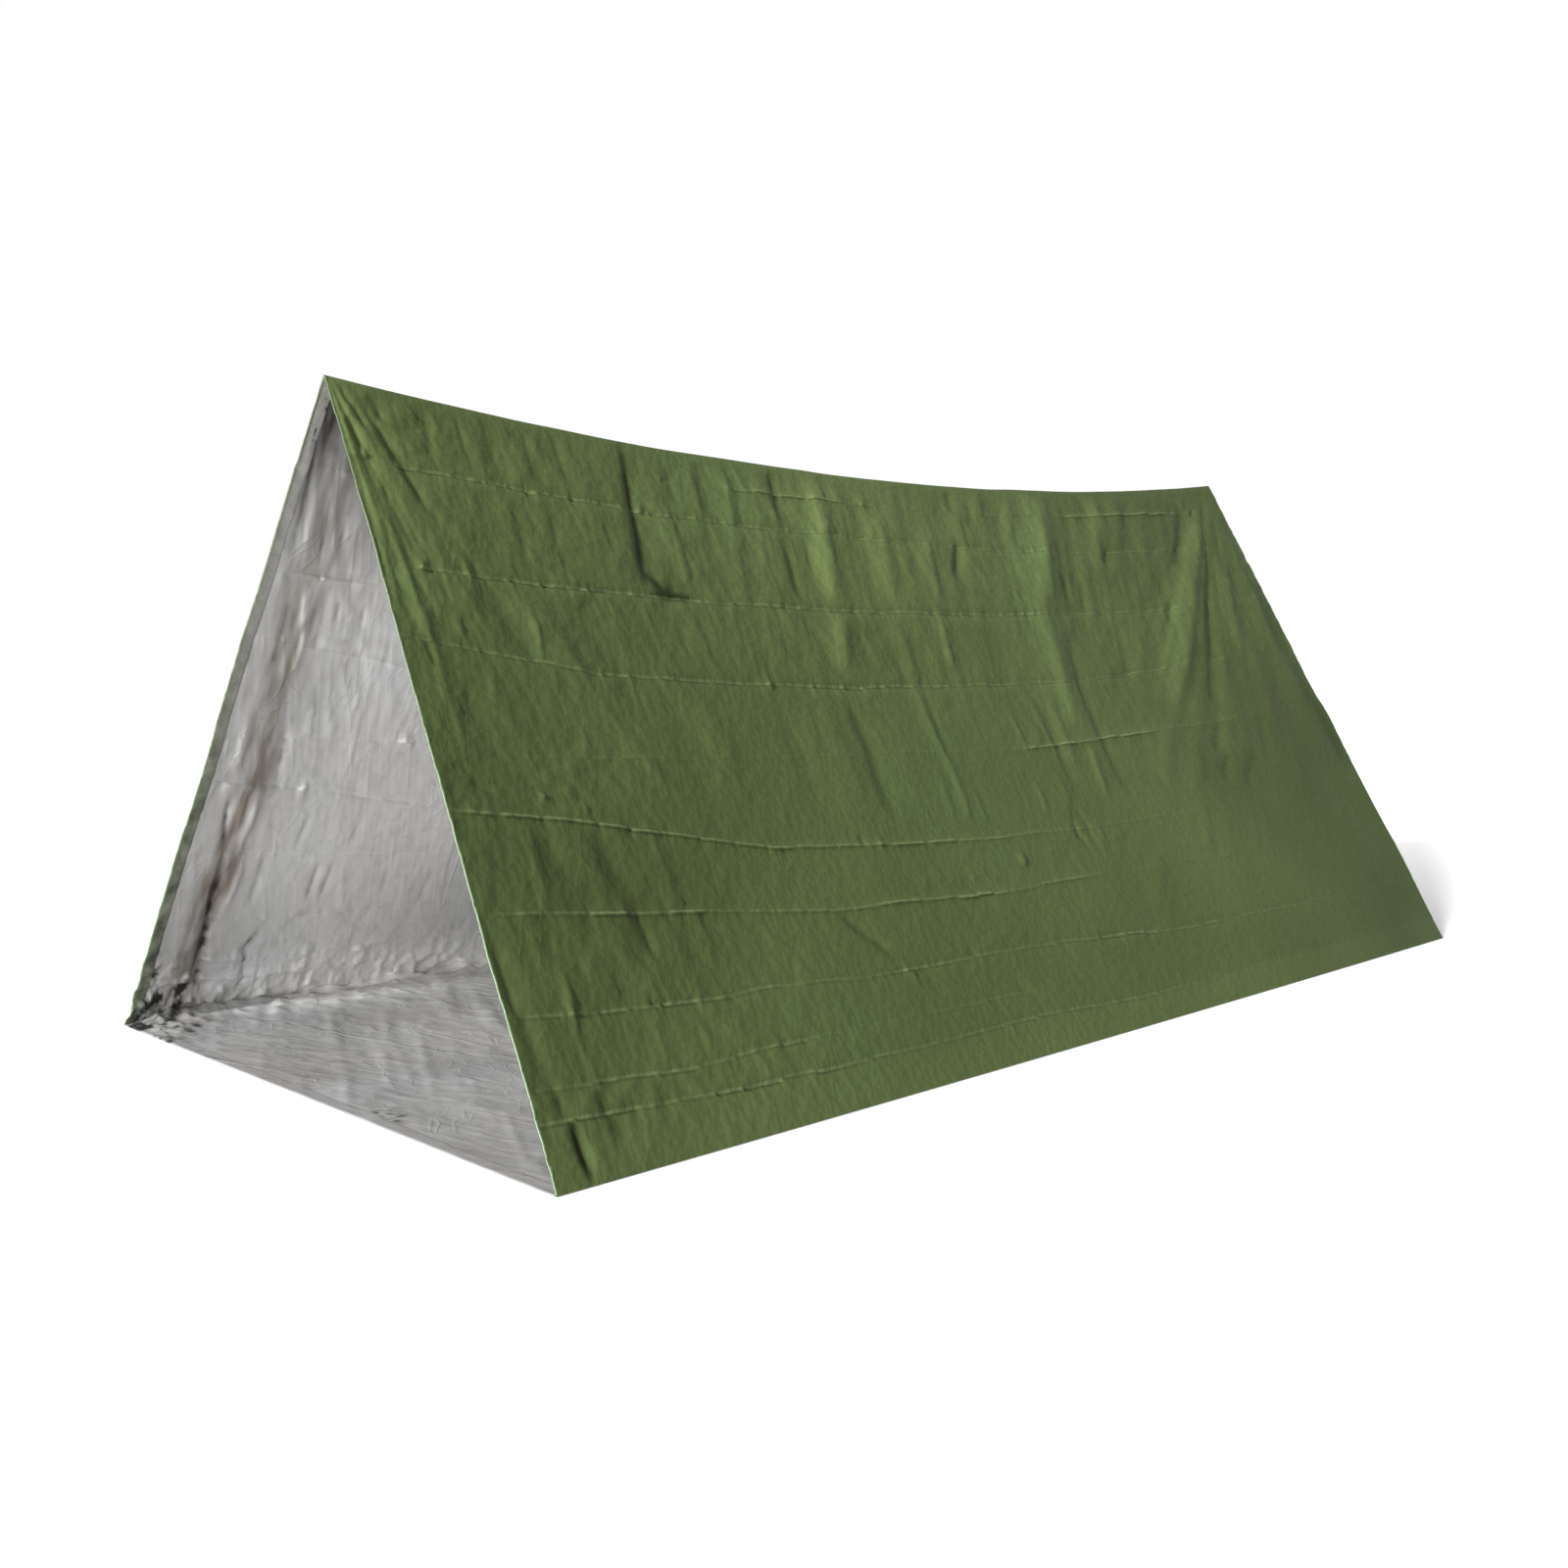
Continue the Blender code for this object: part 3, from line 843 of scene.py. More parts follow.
# %% The placed folds of the right wall
RIGHT_FOLDS = (
    (((678, 4), (650, 90), (618, 178), (604, 208)), 6, 40, 30),
    (((618, 212), (600, 250), (579, 300)), 6, 30, 18),
    (((762, 50), (738, 120), (713, 202)), 4, 30, 24),
    (((708, 214), (700, 297), (690, 330)), 2, 20, 16),
    (((846, 71), (825, 130), (808, 178), (796, 206)), 4, 26, 12),
    (((790, 214), (782, 260), (772, 300)), 4, 20, 10),
    (
        ((1135, 4), (1112, 48), (1090, 95), (1060, 143), (1022, 202), (995, 285), (976, 356), (966, 400)),
        10,
        60,
        42,
    ),
    (((1057, 214), (1030, 290), (1016, 333), (1010, 404), (1004, 500)), -3, 10, 24),
    (((1268, 4), (1248, 59), (1212, 101), (1194, 143), (1175, 208)), 6, 40, 24),
    (((505, 2), (500, 60), (478, 150), (462, 215)), 2.6, 28, 20),
    (((362, 0), (352, 60), (340, 120), (318, 208)), -6.5, 9, 48),
    (((400, 70), (396, 140), (388, 204)), 3, 24, 8),
    (((590, 4), (583, 45), (574, 85)), -5, 8, 26),
    (((568, 107), (560, 160), (550, 208)), -3, 8, 20),
    (((610, 100), (600, 150), (590, 200)), -2.5, 14, 20),
    (((903, 89), (880, 125), (858, 160)), -5, 8, 26),
    (((927, 10), (915, 48)), -3, 7, 14),
    (((960, 30), (940, 70)), -2.5, 8, 14),
    (((990, 10), (965, 60)), 2.5, 16, 10),
    (((1044, 60), (1020, 100)), -2.5, 8, 14),
    (((1012, 92), (984, 182)), -2, 8, 12),
    (((1103, 145), (1083, 198)), -3, 10, 16),
    (((1143, 155), (1113, 212)), -3, 10, 14),
    (((1244, 96), (1212, 132)), -4.5, 8, 20),
    (((1180, 30), (1160, 90)), -2.5, 12, 20),
    (((1330, 4), (1290, 70), (1255, 120)), 3, 26, 14),
    (((1400, 6), (1350, 80), (1300, 150)), 2.5, 26, 14),
    (((562, 325), (568, 400), (560, 450), (556, 494)), -3.2, 14, 30),
    (((690, 316), (688, 400), (692, 430), (683, 500), (682, 528)), 2.2, 12, 8),
    (((703, 330), (700, 420)), -1.6, 7, 12),
    (((666, 430), (656, 505)), 1.5, 9, 7),
    (((712, 460), (708, 515)), 1.3, 6, 8),
    (((845, 340), (848, 400), (845, 440)), 1.8, 8, 6),
    (((832, 455), (832, 490), (822, 512)), 2, 8, 6),
    (((895, 330), (902, 400), (898, 450)), 1.8, 8, 6),
    (((884, 460), (882, 490), (868, 508)), 1.8, 8, 6),
    (((920, 330), (912, 400), (903, 505)), -2.6, 14, 30),
    (((940, 310), (935, 380), (925, 470)), 2.4, 24, 10),
    (((979, 408), (970, 450), (960, 495)), 3, 14, 9),
    (((892, 388), (862, 418)), 2.4, 10, 5),
    (((72, 165), (72, 280)), 1.2, 5, 5),
    (((380, 212), (379, 300)), 1.6, 20, 5),
    (((300, 320), (305, 400), (300, 470)), -1.6, 30, 30),
    (((345, 320), (352, 400), (350, 470)), 1.6, 30, 24),
    (((455, 325), (462, 400), (455, 500)), -1.8, 30, 26),
    (((520, 325), (528, 400), (520, 500)), 1.8, 26, 18),
    (((1570, 18), (1500, 92), (1440, 150), (1375, 225), (1310, 285), (1220, 372)), 10, 60, 28),
    (((1485, 36), (1425, 107), (1384, 148)), -5, 12, 24),
    (((1384, 148), (1330, 205), (1290, 240)), -3, 12, 24),
    (((1530, 120), (1509, 166), (1480, 230), (1448, 297)), 6.5, 36, 22),
    (((1468, 30), (1443, 54)), -3, 9, 18),
    (((1520, 10), (1480, 44)), 3, 14, 8),
    (((1422, 296), (1383, 348)), -3, 10, 14),
    (((1353, 320), (1308, 368)), -2.8, 9, 15),
    (((1304, 400), (1252, 450)), -3, 9, 22),
    (((1284, 450), (1236, 492)), -3.2, 9, 20),
    (((1348, 456), (1284, 510)), -2.8, 10, 15),
    (((1344, 405), (1316, 440)), -2.4, 9, 12),
    (((1414, 406), (1378, 468)), -2, 10, 13),
    (((1180, 400), (1130, 452), (1090, 500)), 3, 20, 12),
    (((1218, 452), (1145, 508)), 2.6, 24, 12),
    (((1164, 515), (1118, 595)), 1.8, 16, 10),
    (((1020, 570), (948, 655)), 2, 28, 20),
    (((1500, 250), (1470, 340), (1430, 440)), 3.5, 44, 30),
    (((1250, 200), (1200, 280), (1160, 340)), 2.4, 24, 16),
    (((1190, 215), (1150, 300), (1120, 360)), -2, 14, 24),
    (((1586, 20), (1574, 120), (1562, 250), (1552, 360)), 5, 60, 12),
    (((1560, 300), (1545, 400), (1530, 520)), 3, 50, 30),
    (((20, 0), (40, 40), (62, 100), (80, 160)), -2.6, 7, 12),
    (((42, 8), (53, 44)), -2.8, 7, 11),
    (((38, 42), (55, 88), (73, 150)), -2.8, 6, 14),
    (((11, 12), (31, 58)), -2.8, 6, 9),
    (((9, 50), (19, 84)), -2, 4, 6),
    (((28, 280), (28, 315)), -2.2, 5, 7),
    (((5, 30), (7, 100), (12, 170), (14, 240)), 2.4, 10, 8),
    (((20, 90), (28, 200), (34, 300), (38, 420)), 1.8, 12, 7),
    (((100, 205), (128, 260), (150, 330)), -2.6, 20, 26),
    (((150, 205), (180, 260), (212, 350)), 3.4, 34, 22),
    (((215, 215), (245, 300), (270, 380)), -2.6, 22, 34),
    (((200, 330), (235, 400), (262, 450)), 2.4, 24, 14),
    (((300, 330), (330, 420)), -1.2, 16, 24),
    (((179, 6), (175, 50), (168, 94)), -2.6, 14, 28),
    (((143, 10), (142, 92)), -1.5, 5, 8),
    (((228, 4), (222, 92)), -2, 8, 20),
    (((265, 2), (264, 84)), -2, 7, 14),
    (((297, 106), (296, 168)), -1.5, 5, 8),
    (((228, 100), (224, 205)), -1.4, 9, 12),
    (((186, 98), (171, 204)), -1.4, 6, 14),
    (((104, 6), (100, 80)), -1.6, 7, 10),
    (((420, 8), (414, 90)), -1.5, 7, 15),
    (((455, 20), (447, 95)), 1.6, 14, 8),
    (((148, 475), (154, 520), (166, 552), (170, 600), (180, 632)), -3, 22, 28),
    (((90, 480), (105, 540)), -3, 20, 16),
    (((166, 552), (171, 600), (174, 622)), -1.8, 5, 6),
    (((210, 500), (222, 548)), 2, 20, 12),
    (((68, 715), (70, 745), (78, 764)), -3, 6, 12),
    (((31, 738), (35, 786)), -5, 5, 10),
    (((22, 690), (30, 740)), -3, 8, 12),
    (((8, 560), (12, 640), (20, 700)), -3, 8, 12),
    (((70, 600), (64, 680), (66, 710)), 2, 8, 6),
    (((414, 592), (430, 606), (455, 632), (474, 656)), -2.6, 5, 16),
    (((500, 670), (520, 705)), -1, 6, 10),
    (((630, 690), (664, 745)), -1.2, 8, 12),
)

# %% [markdown]
# ## Small marks of the right wall
# Short dashes and points lie between the folds. A mark is written like a fold. A knot is the
# point where two creases cross: its place, its height and its radius.

# %% The small marks of the right wall
RIGHT_MARKS = (
    (((178, 26), (207, 22)), 1.5, 3.5, 3.5),
    (((178, 56), (207, 54)), 1.5, 3.5, 3.5),
    (((178, 70), (203, 68)), 1.3, 3.5, 3.5),
    (((205, 38), (225, 30)), 1.2, 5, 5),
    (((206, 62), (226, 76)), 1.2, 5, 5),
    (((70, 28), (82, 24), (94, 28)), 2, 5, 5),
    (((70, 68), (82, 64), (94, 68)), 2, 5, 5),
    (((80, 160), (101, 154), (122, 160)), 1.4, 3.5, 3.5),
    (((80, 173), (101, 168), (122, 173)), 1.2, 3.5, 3.5),
    (((180, 164), (201, 160), (222, 165)), 1.4, 3.5, 3.5),
    (((180, 177), (201, 172), (222, 176)), 1.2, 3.5, 3.5),
    (((284, 170), (298, 168), (312, 172)), 1.2, 3.5, 3.5),
    (((284, 182), (298, 179), (312, 183)), 1, 3.5, 3.5),
    (((27, 357), (46, 359)), 1.6, 3, 3),
    (((85, 370), (123, 373)), 1, 3, 3),
    (((10, 426), (36, 429)), 1.8, 3, 3),
    (((48, 437), (80, 441), (110, 446)), 1.8, 3, 3),
    (((120, 458), (140, 462), (152, 460)), 1.6, 3.5, 3.5),
    (((88, 634), (124, 635)), 1.8, 4, 4),
    (((190, 556), (226, 557)), 1.4, 3.5, 3.5),
    (((205, 560), (226, 558)), 1.6, 3, 3),
    (((150, 556), (172, 558)), 1.4, 4, 4),
    (((148, 652), (172, 654)), -1.8, 3, 3),
    (((190, 695), (215, 690), (235, 696)), 1.2, 4, 4),
    (((240, 640), (262, 638)), 1, 4, 4),
    (((180, 712), (205, 708), (225, 713)), 1.2, 4, 4),
    (((225, 610), (240, 622)), 1.2, 4, 4),
    (((870, 515), (885, 510), (898, 520)), -2, 5, 5),
    (((870, 515), (868, 540), (880, 556)), -2, 5, 5),
    (((898, 520), (893, 545), (880, 556)), -1.4, 5, 5),
    (((900, 552), (916, 549)), 2.4, 4, 4),
    (((912, 530), (916, 549)), 1.6, 4, 4),
    (((935, 553), (958, 545)), 1.6, 4, 4),
    (((735, 566), (748, 558)), 2.4, 5, 4),
    (((790, 560), (830, 556)), 1.4, 6, 4),
    (((640, 572), (672, 570)), 1.6, 6, 4),
    (((596, 575), (630, 572)), 1.2, 6, 4),
    (((560, 570), (600, 566)), 1.2, 6, 4),
    (((330, 642), (350, 650)), 1, 4, 4),
    (((480, 665), (492, 672)), 2.2, 5, 4),
    (((580, 676), (606, 672)), 1.8, 4, 4),
    (((595, 752), (606, 756)), 1.8, 4, 4),
    (((610, 655), (650, 652)), 1.2, 5, 4),
    (((660, 656), (690, 652)), 1.6, 5, 4),
    (((150, 715), (172, 722)), 1, 4, 4),
    (((640, 43), (672, 34)), 2, 5, 3.5),
    (((630, 97), (668, 87)), 2, 5, 3.5),
    (((722, 97), (738, 85)), 2, 5, 3.5),
    (((735, 48), (749, 30)), 1.8, 5, 3.5),
    (((1108, 3), (1132, 3)), 2.4, 4, 4),
    (((450, 318), (458, 305)), 1.8, 4, 4),
    (((155, 300), (160, 255)), 1.4, 4, 4),
)
RIGHT_KNOTS = (
    ((20, 87), 3, 5),
    ((55, 93), 2.6, 5),
    ((48, 208), 3.2, 5),
    ((358, 92), 2.6, 6),
    ((74, 172), 2, 4),
    ((71, 273), 2.2, 5),
    ((157, 258), 1.8, 5),
    ((453, 317), 2.4, 5),
    ((950, 213), 2, 6),
    ((984, 182), -3, 7),
    ((70, 548), 2.4, 5),
    ((70, 637), 3.4, 5),
    ((65, 650), 2.4, 4),
    ((70, 712), 1.8, 4),
    ((105, 445), 2.4, 5),
    ((148, 460), 2.4, 5),
    ((215, 493), 1.6, 5),
    ((497, 515), -2.4, 6),
    ((522, 520), 2.2, 6),
    ((225, 556), 2.2, 5),
    ((1440, 500), 1.6, 9),
    ((1492, 578), 2, 10),
    ((1398, 590), 1.6, 10),
    ((885, 548), 1.6, 5),
    ((590, 660), -1.8, 7),
    ((740, 560), 2.6, 7),
)
print(len(RIGHT_FOLDS), "folds,", len(RIGHT_MARKS), "marks and", len(RIGHT_KNOTS), "knots")

# %% [markdown]
# ## Painted light and shade of the right wall
# Bands of painted light lie along the lit flanks of folds, and bands of painted shade where a fold
# is shut. Each row is a path, a strength (above 0 is paler, below 0 is darker) and the widths to
# the left and to the right of it.

# %% Painted light and shade of the right wall
RIGHT_PAINTED_BANDS = (
    (((1118, 2), (1094, 48), (1066, 100), (1040, 143), (1016, 180)), 0.34, 52, 26),
    (((1030, 160), (1006, 205), (990, 260), (974, 330), (960, 392)), 0.34, 26, 14),
    (((664, 4), (638, 95), (616, 165), (605, 207)), 0.28, 34, 18),
    (((613, 211), (596, 252), (577, 300)), 0.32, 22, 11),
    (((757, 60), (733, 120), (709, 204)), 0.16, 24, 18),
    (((846, 71), (825, 130), (808, 178), (796, 206)), 0.2, 18, 8),
    (((792, 212), (783, 255), (773, 290)), 0.24, 12, 7),
    (((1256, 4), (1238, 59), (1203, 101), (1186, 143)), 0.24, 32, 22),
    (((1540, 40), (1425, 150), (1350, 216), (1268, 298), (1190, 378)), 0.24, 44, 28),
    (((1512, 160), (1476, 236), (1446, 297)), 0.18, 30, 16),
    (((506, 6), (500, 90), (486, 160)), 0.12, 30, 14),
    (((385, 70), (390, 140), (388, 200)), 0.2, 26, 5),
    (((948, 310), (936, 390), (925, 440)), 0.12, 22, 8),
    (((978, 410), (968, 450), (958, 498)), 0.2, 10, 6),
    (((190, 225), (212, 290), (224, 350)), 0.12, 26, 16),
    (((232, 360), (252, 420)), 0.12, 22, 12),
    (((690, 316), (688, 400), (692, 430), (684, 500)), 0.12, 22, 6),
    (((361, 0), (352, 60), (341, 120), (322, 205)), -0.66, 7, 7),
    (((322, 203), (356, 206), (388, 205)), -0.75, 8, 4),
    (((328, 180), (346, 196), (366, 203)), -0.45, 9, 7),
    (((340, 150), (334, 206)), -0.26, 3, 16),
    (((338, 182), (334, 207)), -0.26, 3, 42),
    (((372, 150), (380, 200)), -0.2, 26, 10),
    (((592, 0), (583, 45), (575, 86)), -0.2, 8, 8),
    (((568, 104), (560, 160), (551, 206)), -0.16, 9, 9),
    (((903, 89), (880, 125), (858, 160)), -0.2, 7, 6),
    (((927, 8), (915, 50)), -0.28, 7, 7),
    (((958, 30), (938, 72)), -0.2, 7, 6),
    (((1057, 214), (1030, 280), (1016, 333), (1010, 404), (1004, 500)), -0.2, 13, 10),
    (((1556, 68), (1485, 143), (1425, 204), (1366, 268), (1301, 318), (1247, 370)), -0.16, 10, 10),
    (((1488, 34), (1425, 107), (1384, 150)), -0.26, 12, 12),
    (((1247, 92), (1212, 134)), -0.14, 7, 6),
    (((1103, 145), (1083, 198)), -0.16, 8, 8),
    (((1143, 155), (1113, 212)), -0.16, 8, 8),
    (((562, 330), (568, 400), (560, 450), (556, 492)), -0.18, 12, 12),
    (((42, 6), (53, 46)), -0.34, 4, 4),
    (((24, 4), (32, 30)), -0.3, 7, 5),
    (((38, 42), (55, 88), (73, 150)), -0.24, 4, 5),
    (((9, 50), (19, 84)), -0.3, 5, 4),
    (((28, 280), (28, 316)), -0.3, 4, 4),
    (((180, 4), (174, 50), (168, 94)), -0.18, 14, 16),
    (((31, 736), (35, 788)), -0.62, 6, 6),
    (((68, 715), (72, 745), (78, 764)), -0.34, 7, 6),
    (((150, 475), (154, 520), (166, 552), (172, 610)), -0.14, 26, 6),
    (((84, 480), (100, 540), (108, 580)), -0.18, 20, 14),
    (((414, 592), (430, 606), (455, 632), (474, 656)), -0.26, 5, 5),
    (((1284, 450), (1236, 492)), -0.18, 7, 8),
    (((1304, 400), (1252, 450)), -0.18, 7, 8),
    (((1348, 456), (1284, 510)), -0.16, 8, 9),
    (((1353, 320), (1308, 368)), -0.14, 7, 8),
    (((1590, 160), (1580, 260), (1578, 400), (1580, 520)), -0.2, 24, 20),
)
print(len(RIGHT_PAINTED_BANDS), "bands")

# %% [markdown]
# ## Folds of the left wall
# The camera sees the left wall from inside, past the open front, where tight folds run down
# beside the edge into a crumpled corner. The rest follows the right wall's manner.

# %% The placed folds of the left wall
LEFT_FOLDS = (
    (((14, 60), (20, 120), (22, 200)), -3, 5, 7),
    (((28, 90), (33, 160), (34, 230)), 1.4, 5, 6),
    (((47, 110), (49, 150), (57, 206)), -3, 4, 7),
    (((84, 120), (83, 205)), 1.6, 5, 5),
    (((70, 130), (74, 200)), -1.4, 5, 5),
    (((36, 215), (40, 280), (44, 350)), -3.6, 6, 10),
    (((50, 215), (64, 270), (70, 340)), 3.6, 7, 9),
    (((78, 230), (82, 300)), -2.2, 5, 7),
    (((30, 362), (34, 420), (38, 470)), 2.4, 8, 14),
    (((80, 380), (84, 440), (90, 475)), -2.4, 6, 8),
    (((40, 478), (44, 520), (56, 556)), -5.6, 6, 8),
    (((72, 478), (74, 520), (66, 552)), 4.2, 6, 6),
    (((58, 484), (60, 530)), 3, 4, 5),
    (((60, 556), (58, 610), (64, 665), (70, 720), (72, 790)), -9.5, 12, 12),
    (((50, 560), (50, 620), (54, 650)), 4, 6, 6),
    (((80, 575), (78, 640)), 4.4, 6, 6),
    (((104, 560), (108, 630)), -3, 7, 8),
    (((136, 655), (120, 700), (127, 745), (118, 775)), -5.2, 7, 9),
    (((108, 690), (112, 740)), 2.6, 6, 6),
    (((179, 578), (175, 642)), -4, 3.5, 6),
    (((196, 580), (193, 640)), -3.4, 4.5, 7),
    (((208, 585), (222, 636)), 2, 5, 6),
    (((143, 500), (138, 560)), -2.4, 4, 6),
    (((208, 520), (205, 560)), -1.6, 4, 6),
    (((150, 330), (152, 372)), 2.4, 4, 4),
    (((164, 390), (170, 440), (178, 455)), 2, 4, 4),
    (((96, 300), (112, 330), (116, 360)), 2, 5, 5),
    (((126, 300), (138, 340)), -1.6, 5, 6),
    (((90, 232), (96, 262)), -3, 4, 5),
    (((104, 236), (112, 262)), 2.6, 4, 5),
    (((120, 238), (128, 270)), -2.2, 4, 5),
    (((340, 600), (334, 660)), -1.6, 5, 7),
    (((318, 590), (314, 650)), 1.6, 5, 5),
    (((300, 610), (312, 645)), 1.8, 4, 4),
    (((272, 590), (276, 640)), -1.4, 6, 8),
    (((200, 690), (204, 760)), 2, 7, 7),
    (((212, 700), (214, 780)), -2.2, 7, 7),
    (((430, 600), (425, 690)), -2, 8, 10),
    (((520, 2), (500, 80), (470, 200)), 4, 30, 12),
    (((660, 2), (640, 90), (600, 260)), 5, 34, 12),
    (((800, 2), (785, 60), (765, 190)), -3.6, 9, 14),
    (((905, 2), (880, 120), (850, 260)), 5.4, 34, 12),
    (((1040, 2), (1010, 120), (985, 240)), -3.2, 9, 14),
    (((1150, 2), (1110, 110), (1050, 260), (1010, 380)), 8, 40, 13),
    (((1300, 10), (1265, 90), (1230, 180)), 4, 34, 14),
    (((1556, 36), (1478, 124), (1437, 166), (1390, 228), (1312, 288), (1238, 364)), 8.6, 44, 14),
    (((1545, 108), (1508, 180), (1484, 232), (1432, 302)), 5, 30, 12),
    (((1422, 306), (1383, 358)), -3.2, 8, 12),
    (((1344, 405), (1286, 480)), -2.6, 8, 12),
    (((1586, 20), (1570, 120), (1556, 250), (1548, 360)), 3, 26, 12),
    (((300, 2), (296, 90), (284, 205)), -4.6, 8, 16),
    (((700, 330), (700, 420), (690, 520)), 1.8, 8, 4),
    (((860, 340), (858, 430), (850, 500)), 1.8, 8, 4),
    (((960, 330), (950, 430)), 1.8, 8, 4),
)

# %% [markdown]
# ## Small marks of the left wall
# These are the short creases and knots that the open front shows, most of them near the front
# edge and in the crumpled foot.

# %% The small marks of the left wall
LEFT_MARKS = (
    (((30, 205), (128, 206)), -2.6, 3, 3),
    (((82, 284), (118, 286), (148, 284)), 2.2, 3.5, 3.5),
    (((20, 362), (60, 364), (110, 362)), 2.2, 3.5, 3.5),
    (((96, 372), (118, 366), (128, 380)), 2.4, 4, 4),
    (((96, 396), (122, 390), (142, 400)), 2.4, 4, 4),
    (((25, 464), (95, 470)), 2.6, 3, 3),
    (((25, 476), (95, 480), (180, 488), (300, 498)), 1.6, 3, 3),
    (((118, 474), (126, 466)), 2.6, 4, 4),
    (((164, 577), (196, 578)), 3, 3, 3),
    (((270, 597), (360, 600)), 1.4, 3, 3),
    (((326, 690), (400, 692)), 1.4, 3, 3),
    (((226, 403), (242, 410)), 3, 5, 4),
    (((204, 398), (218, 402)), 1.6, 4, 4),
    (((268, 724), (290, 720)), 2.6, 5, 5),
    (((220, 636), (236, 656)), 2.2, 5, 5),
    (((100, 752), (110, 768)), 3.4, 5, 5),
    (((155, 768), (168, 778)), 3, 5, 5),
    (((418, 752), (440, 760)), 2.6, 6, 5),
    (((50, 738), (62, 728)), 4, 5, 4),
    (((66, 548), (76, 552)), 3.4, 4, 4),
)
LEFT_KNOTS = (
    ((226, 406), 3.2, 6),
    ((72, 551), 3.4, 5),
    ((124, 472), 2.6, 5),
    ((104, 756), 3.4, 6),
    ((160, 772), 3, 6),
    ((275, 722), 2.6, 7),
    ((60, 734), 4, 6),
    ((46, 752), -5, 7),
    ((66, 765), 5, 7),
    ((30, 775), -5, 7),
    ((90, 780), -4, 7),
)
print(len(LEFT_FOLDS), "folds,", len(LEFT_MARKS), "marks and", len(LEFT_KNOTS), "knots")

# %% [markdown]
# ## Streaks
# Narrow waves hang from the ridge and lean towards the front, more so near the rear. Others
# spread like a fan out of each apex. All of them are noise that is stretched along its run: a
# streak's size is its width and its length in metres, and a fan wave's width is an angle.

# %% Streaks that hang from the ridge or fan out of an apex
LEAN_ALONG = (0.0, 0.55, 1.05, 1.70, 2.40)
LEAN = (0.05, 0.20, 0.25, 0.43, 0.50)
REAR_APEX = (2.40, -0.03)
FRONT_APEX = (0.0, -0.02)
WIDE_STREAK = (0.055, 0.40)
NARROW_STREAK = (0.016, 0.13)
WIDE_SHARE = 1.1
NARROW_SHARE = 0.35
LOW_FADE = 0.85
STREAKS_AT_FRONT = 0.28
REAR_FAN_WAVE = (0.042, 0.45)
FRONT_FAN_WAVE = (0.05, 0.30)


def hanging_streaks(x, y, seed):
    """Narrow waves that run down from the ridge and lean towards the front."""
    from_ridge = x + np.interp(x, LEAN_ALONG, LEAN) * y
    wide = soft_noise(from_ridge / WIDE_STREAK[0], y / WIDE_STREAK[1], 1, seed, 2)
    narrow = soft_noise(from_ridge / NARROW_STREAK[0], y / NARROW_STREAK[1], 1, seed + 5, 2)
    patches = ease(soft_noise(x, y, 0.22, seed + 8, 2) + 0.25, 0.6)
    fade = 1 - LOW_FADE * ease(y - 0.20, 0.45)
    front = STREAKS_AT_FRONT + (1 - STREAKS_AT_FRONT) * ease(x - 0.45, 0.35)
    return (WIDE_SHARE * wide + NARROW_SHARE * narrow * patches) * fade * front


def rear_fan(x, y, seed):
    """Waves that spread out of the rear apex."""
    reach = np.hypot(REAR_APEX[0] - x, y - REAR_APEX[1])
    turn = np.arctan2(REAR_APEX[0] - x, y - REAR_APEX[1])
    waves = soft_noise(turn / REAR_FAN_WAVE[0], reach / REAR_FAN_WAVE[1], 1, seed, 2)
    within = ease(turn - 0.30, 0.30) * ease(1.15 - turn, 0.25)
    return waves * within * ease(reach, 0.20) * (1 - 0.9 * ease(reach - 0.55, 0.55))


def front_fan(x, y, seed):
    """Waves that spread out of the front apex, down beside the front edge."""
    reach = np.hypot(x - FRONT_APEX[0], y - FRONT_APEX[1])
    turn = np.arctan2(x - FRONT_APEX[0], y - FRONT_APEX[1])
    waves = soft_noise(turn / FRONT_FAN_WAVE[0], reach / FRONT_FAN_WAVE[1], 1, seed, 2)
    return waves * ease(0.75 - turn, 0.35) * (1 - ease(reach - 0.30, 0.45))


print("streaks ready")

# %% [markdown]
# ## The placed relief
# The folds, marks and knots of the tables are pressed into the flat wall. Their places wander by
# a millimetre or two, so that no fold is straight. The left wall's front is seen from inside, so
# heights there count towards the inside. Its upper folds are lower than listed. Deep grooves get
# painted shade, and grooves near the front get painted dark specks. The front part's depth along
# the tent and the apex part's depth down from the ridge count film steps.

# %% Press the placed folds
PLACED = {
    RIGHT: (RIGHT_FOLDS, RIGHT_MARKS, RIGHT_KNOTS),
    LEFT: (LEFT_FOLDS, LEFT_MARKS, LEFT_KNOTS),
}
SEEDS = {RIGHT: 100, LEFT: 300}
FRONT_PART = 560
APEX_PART = 350
APEX_GAIN = 0.6
MARK_GAIN = 1.6
MARK_TAPER = 0.15
MARK_PINCH = 1.5
PAINTED_DARK_GAIN = 0.14
DEEP_GROOVE = -3
WANDER_ALONG = 1.6
WANDER_DOWN = 2.0


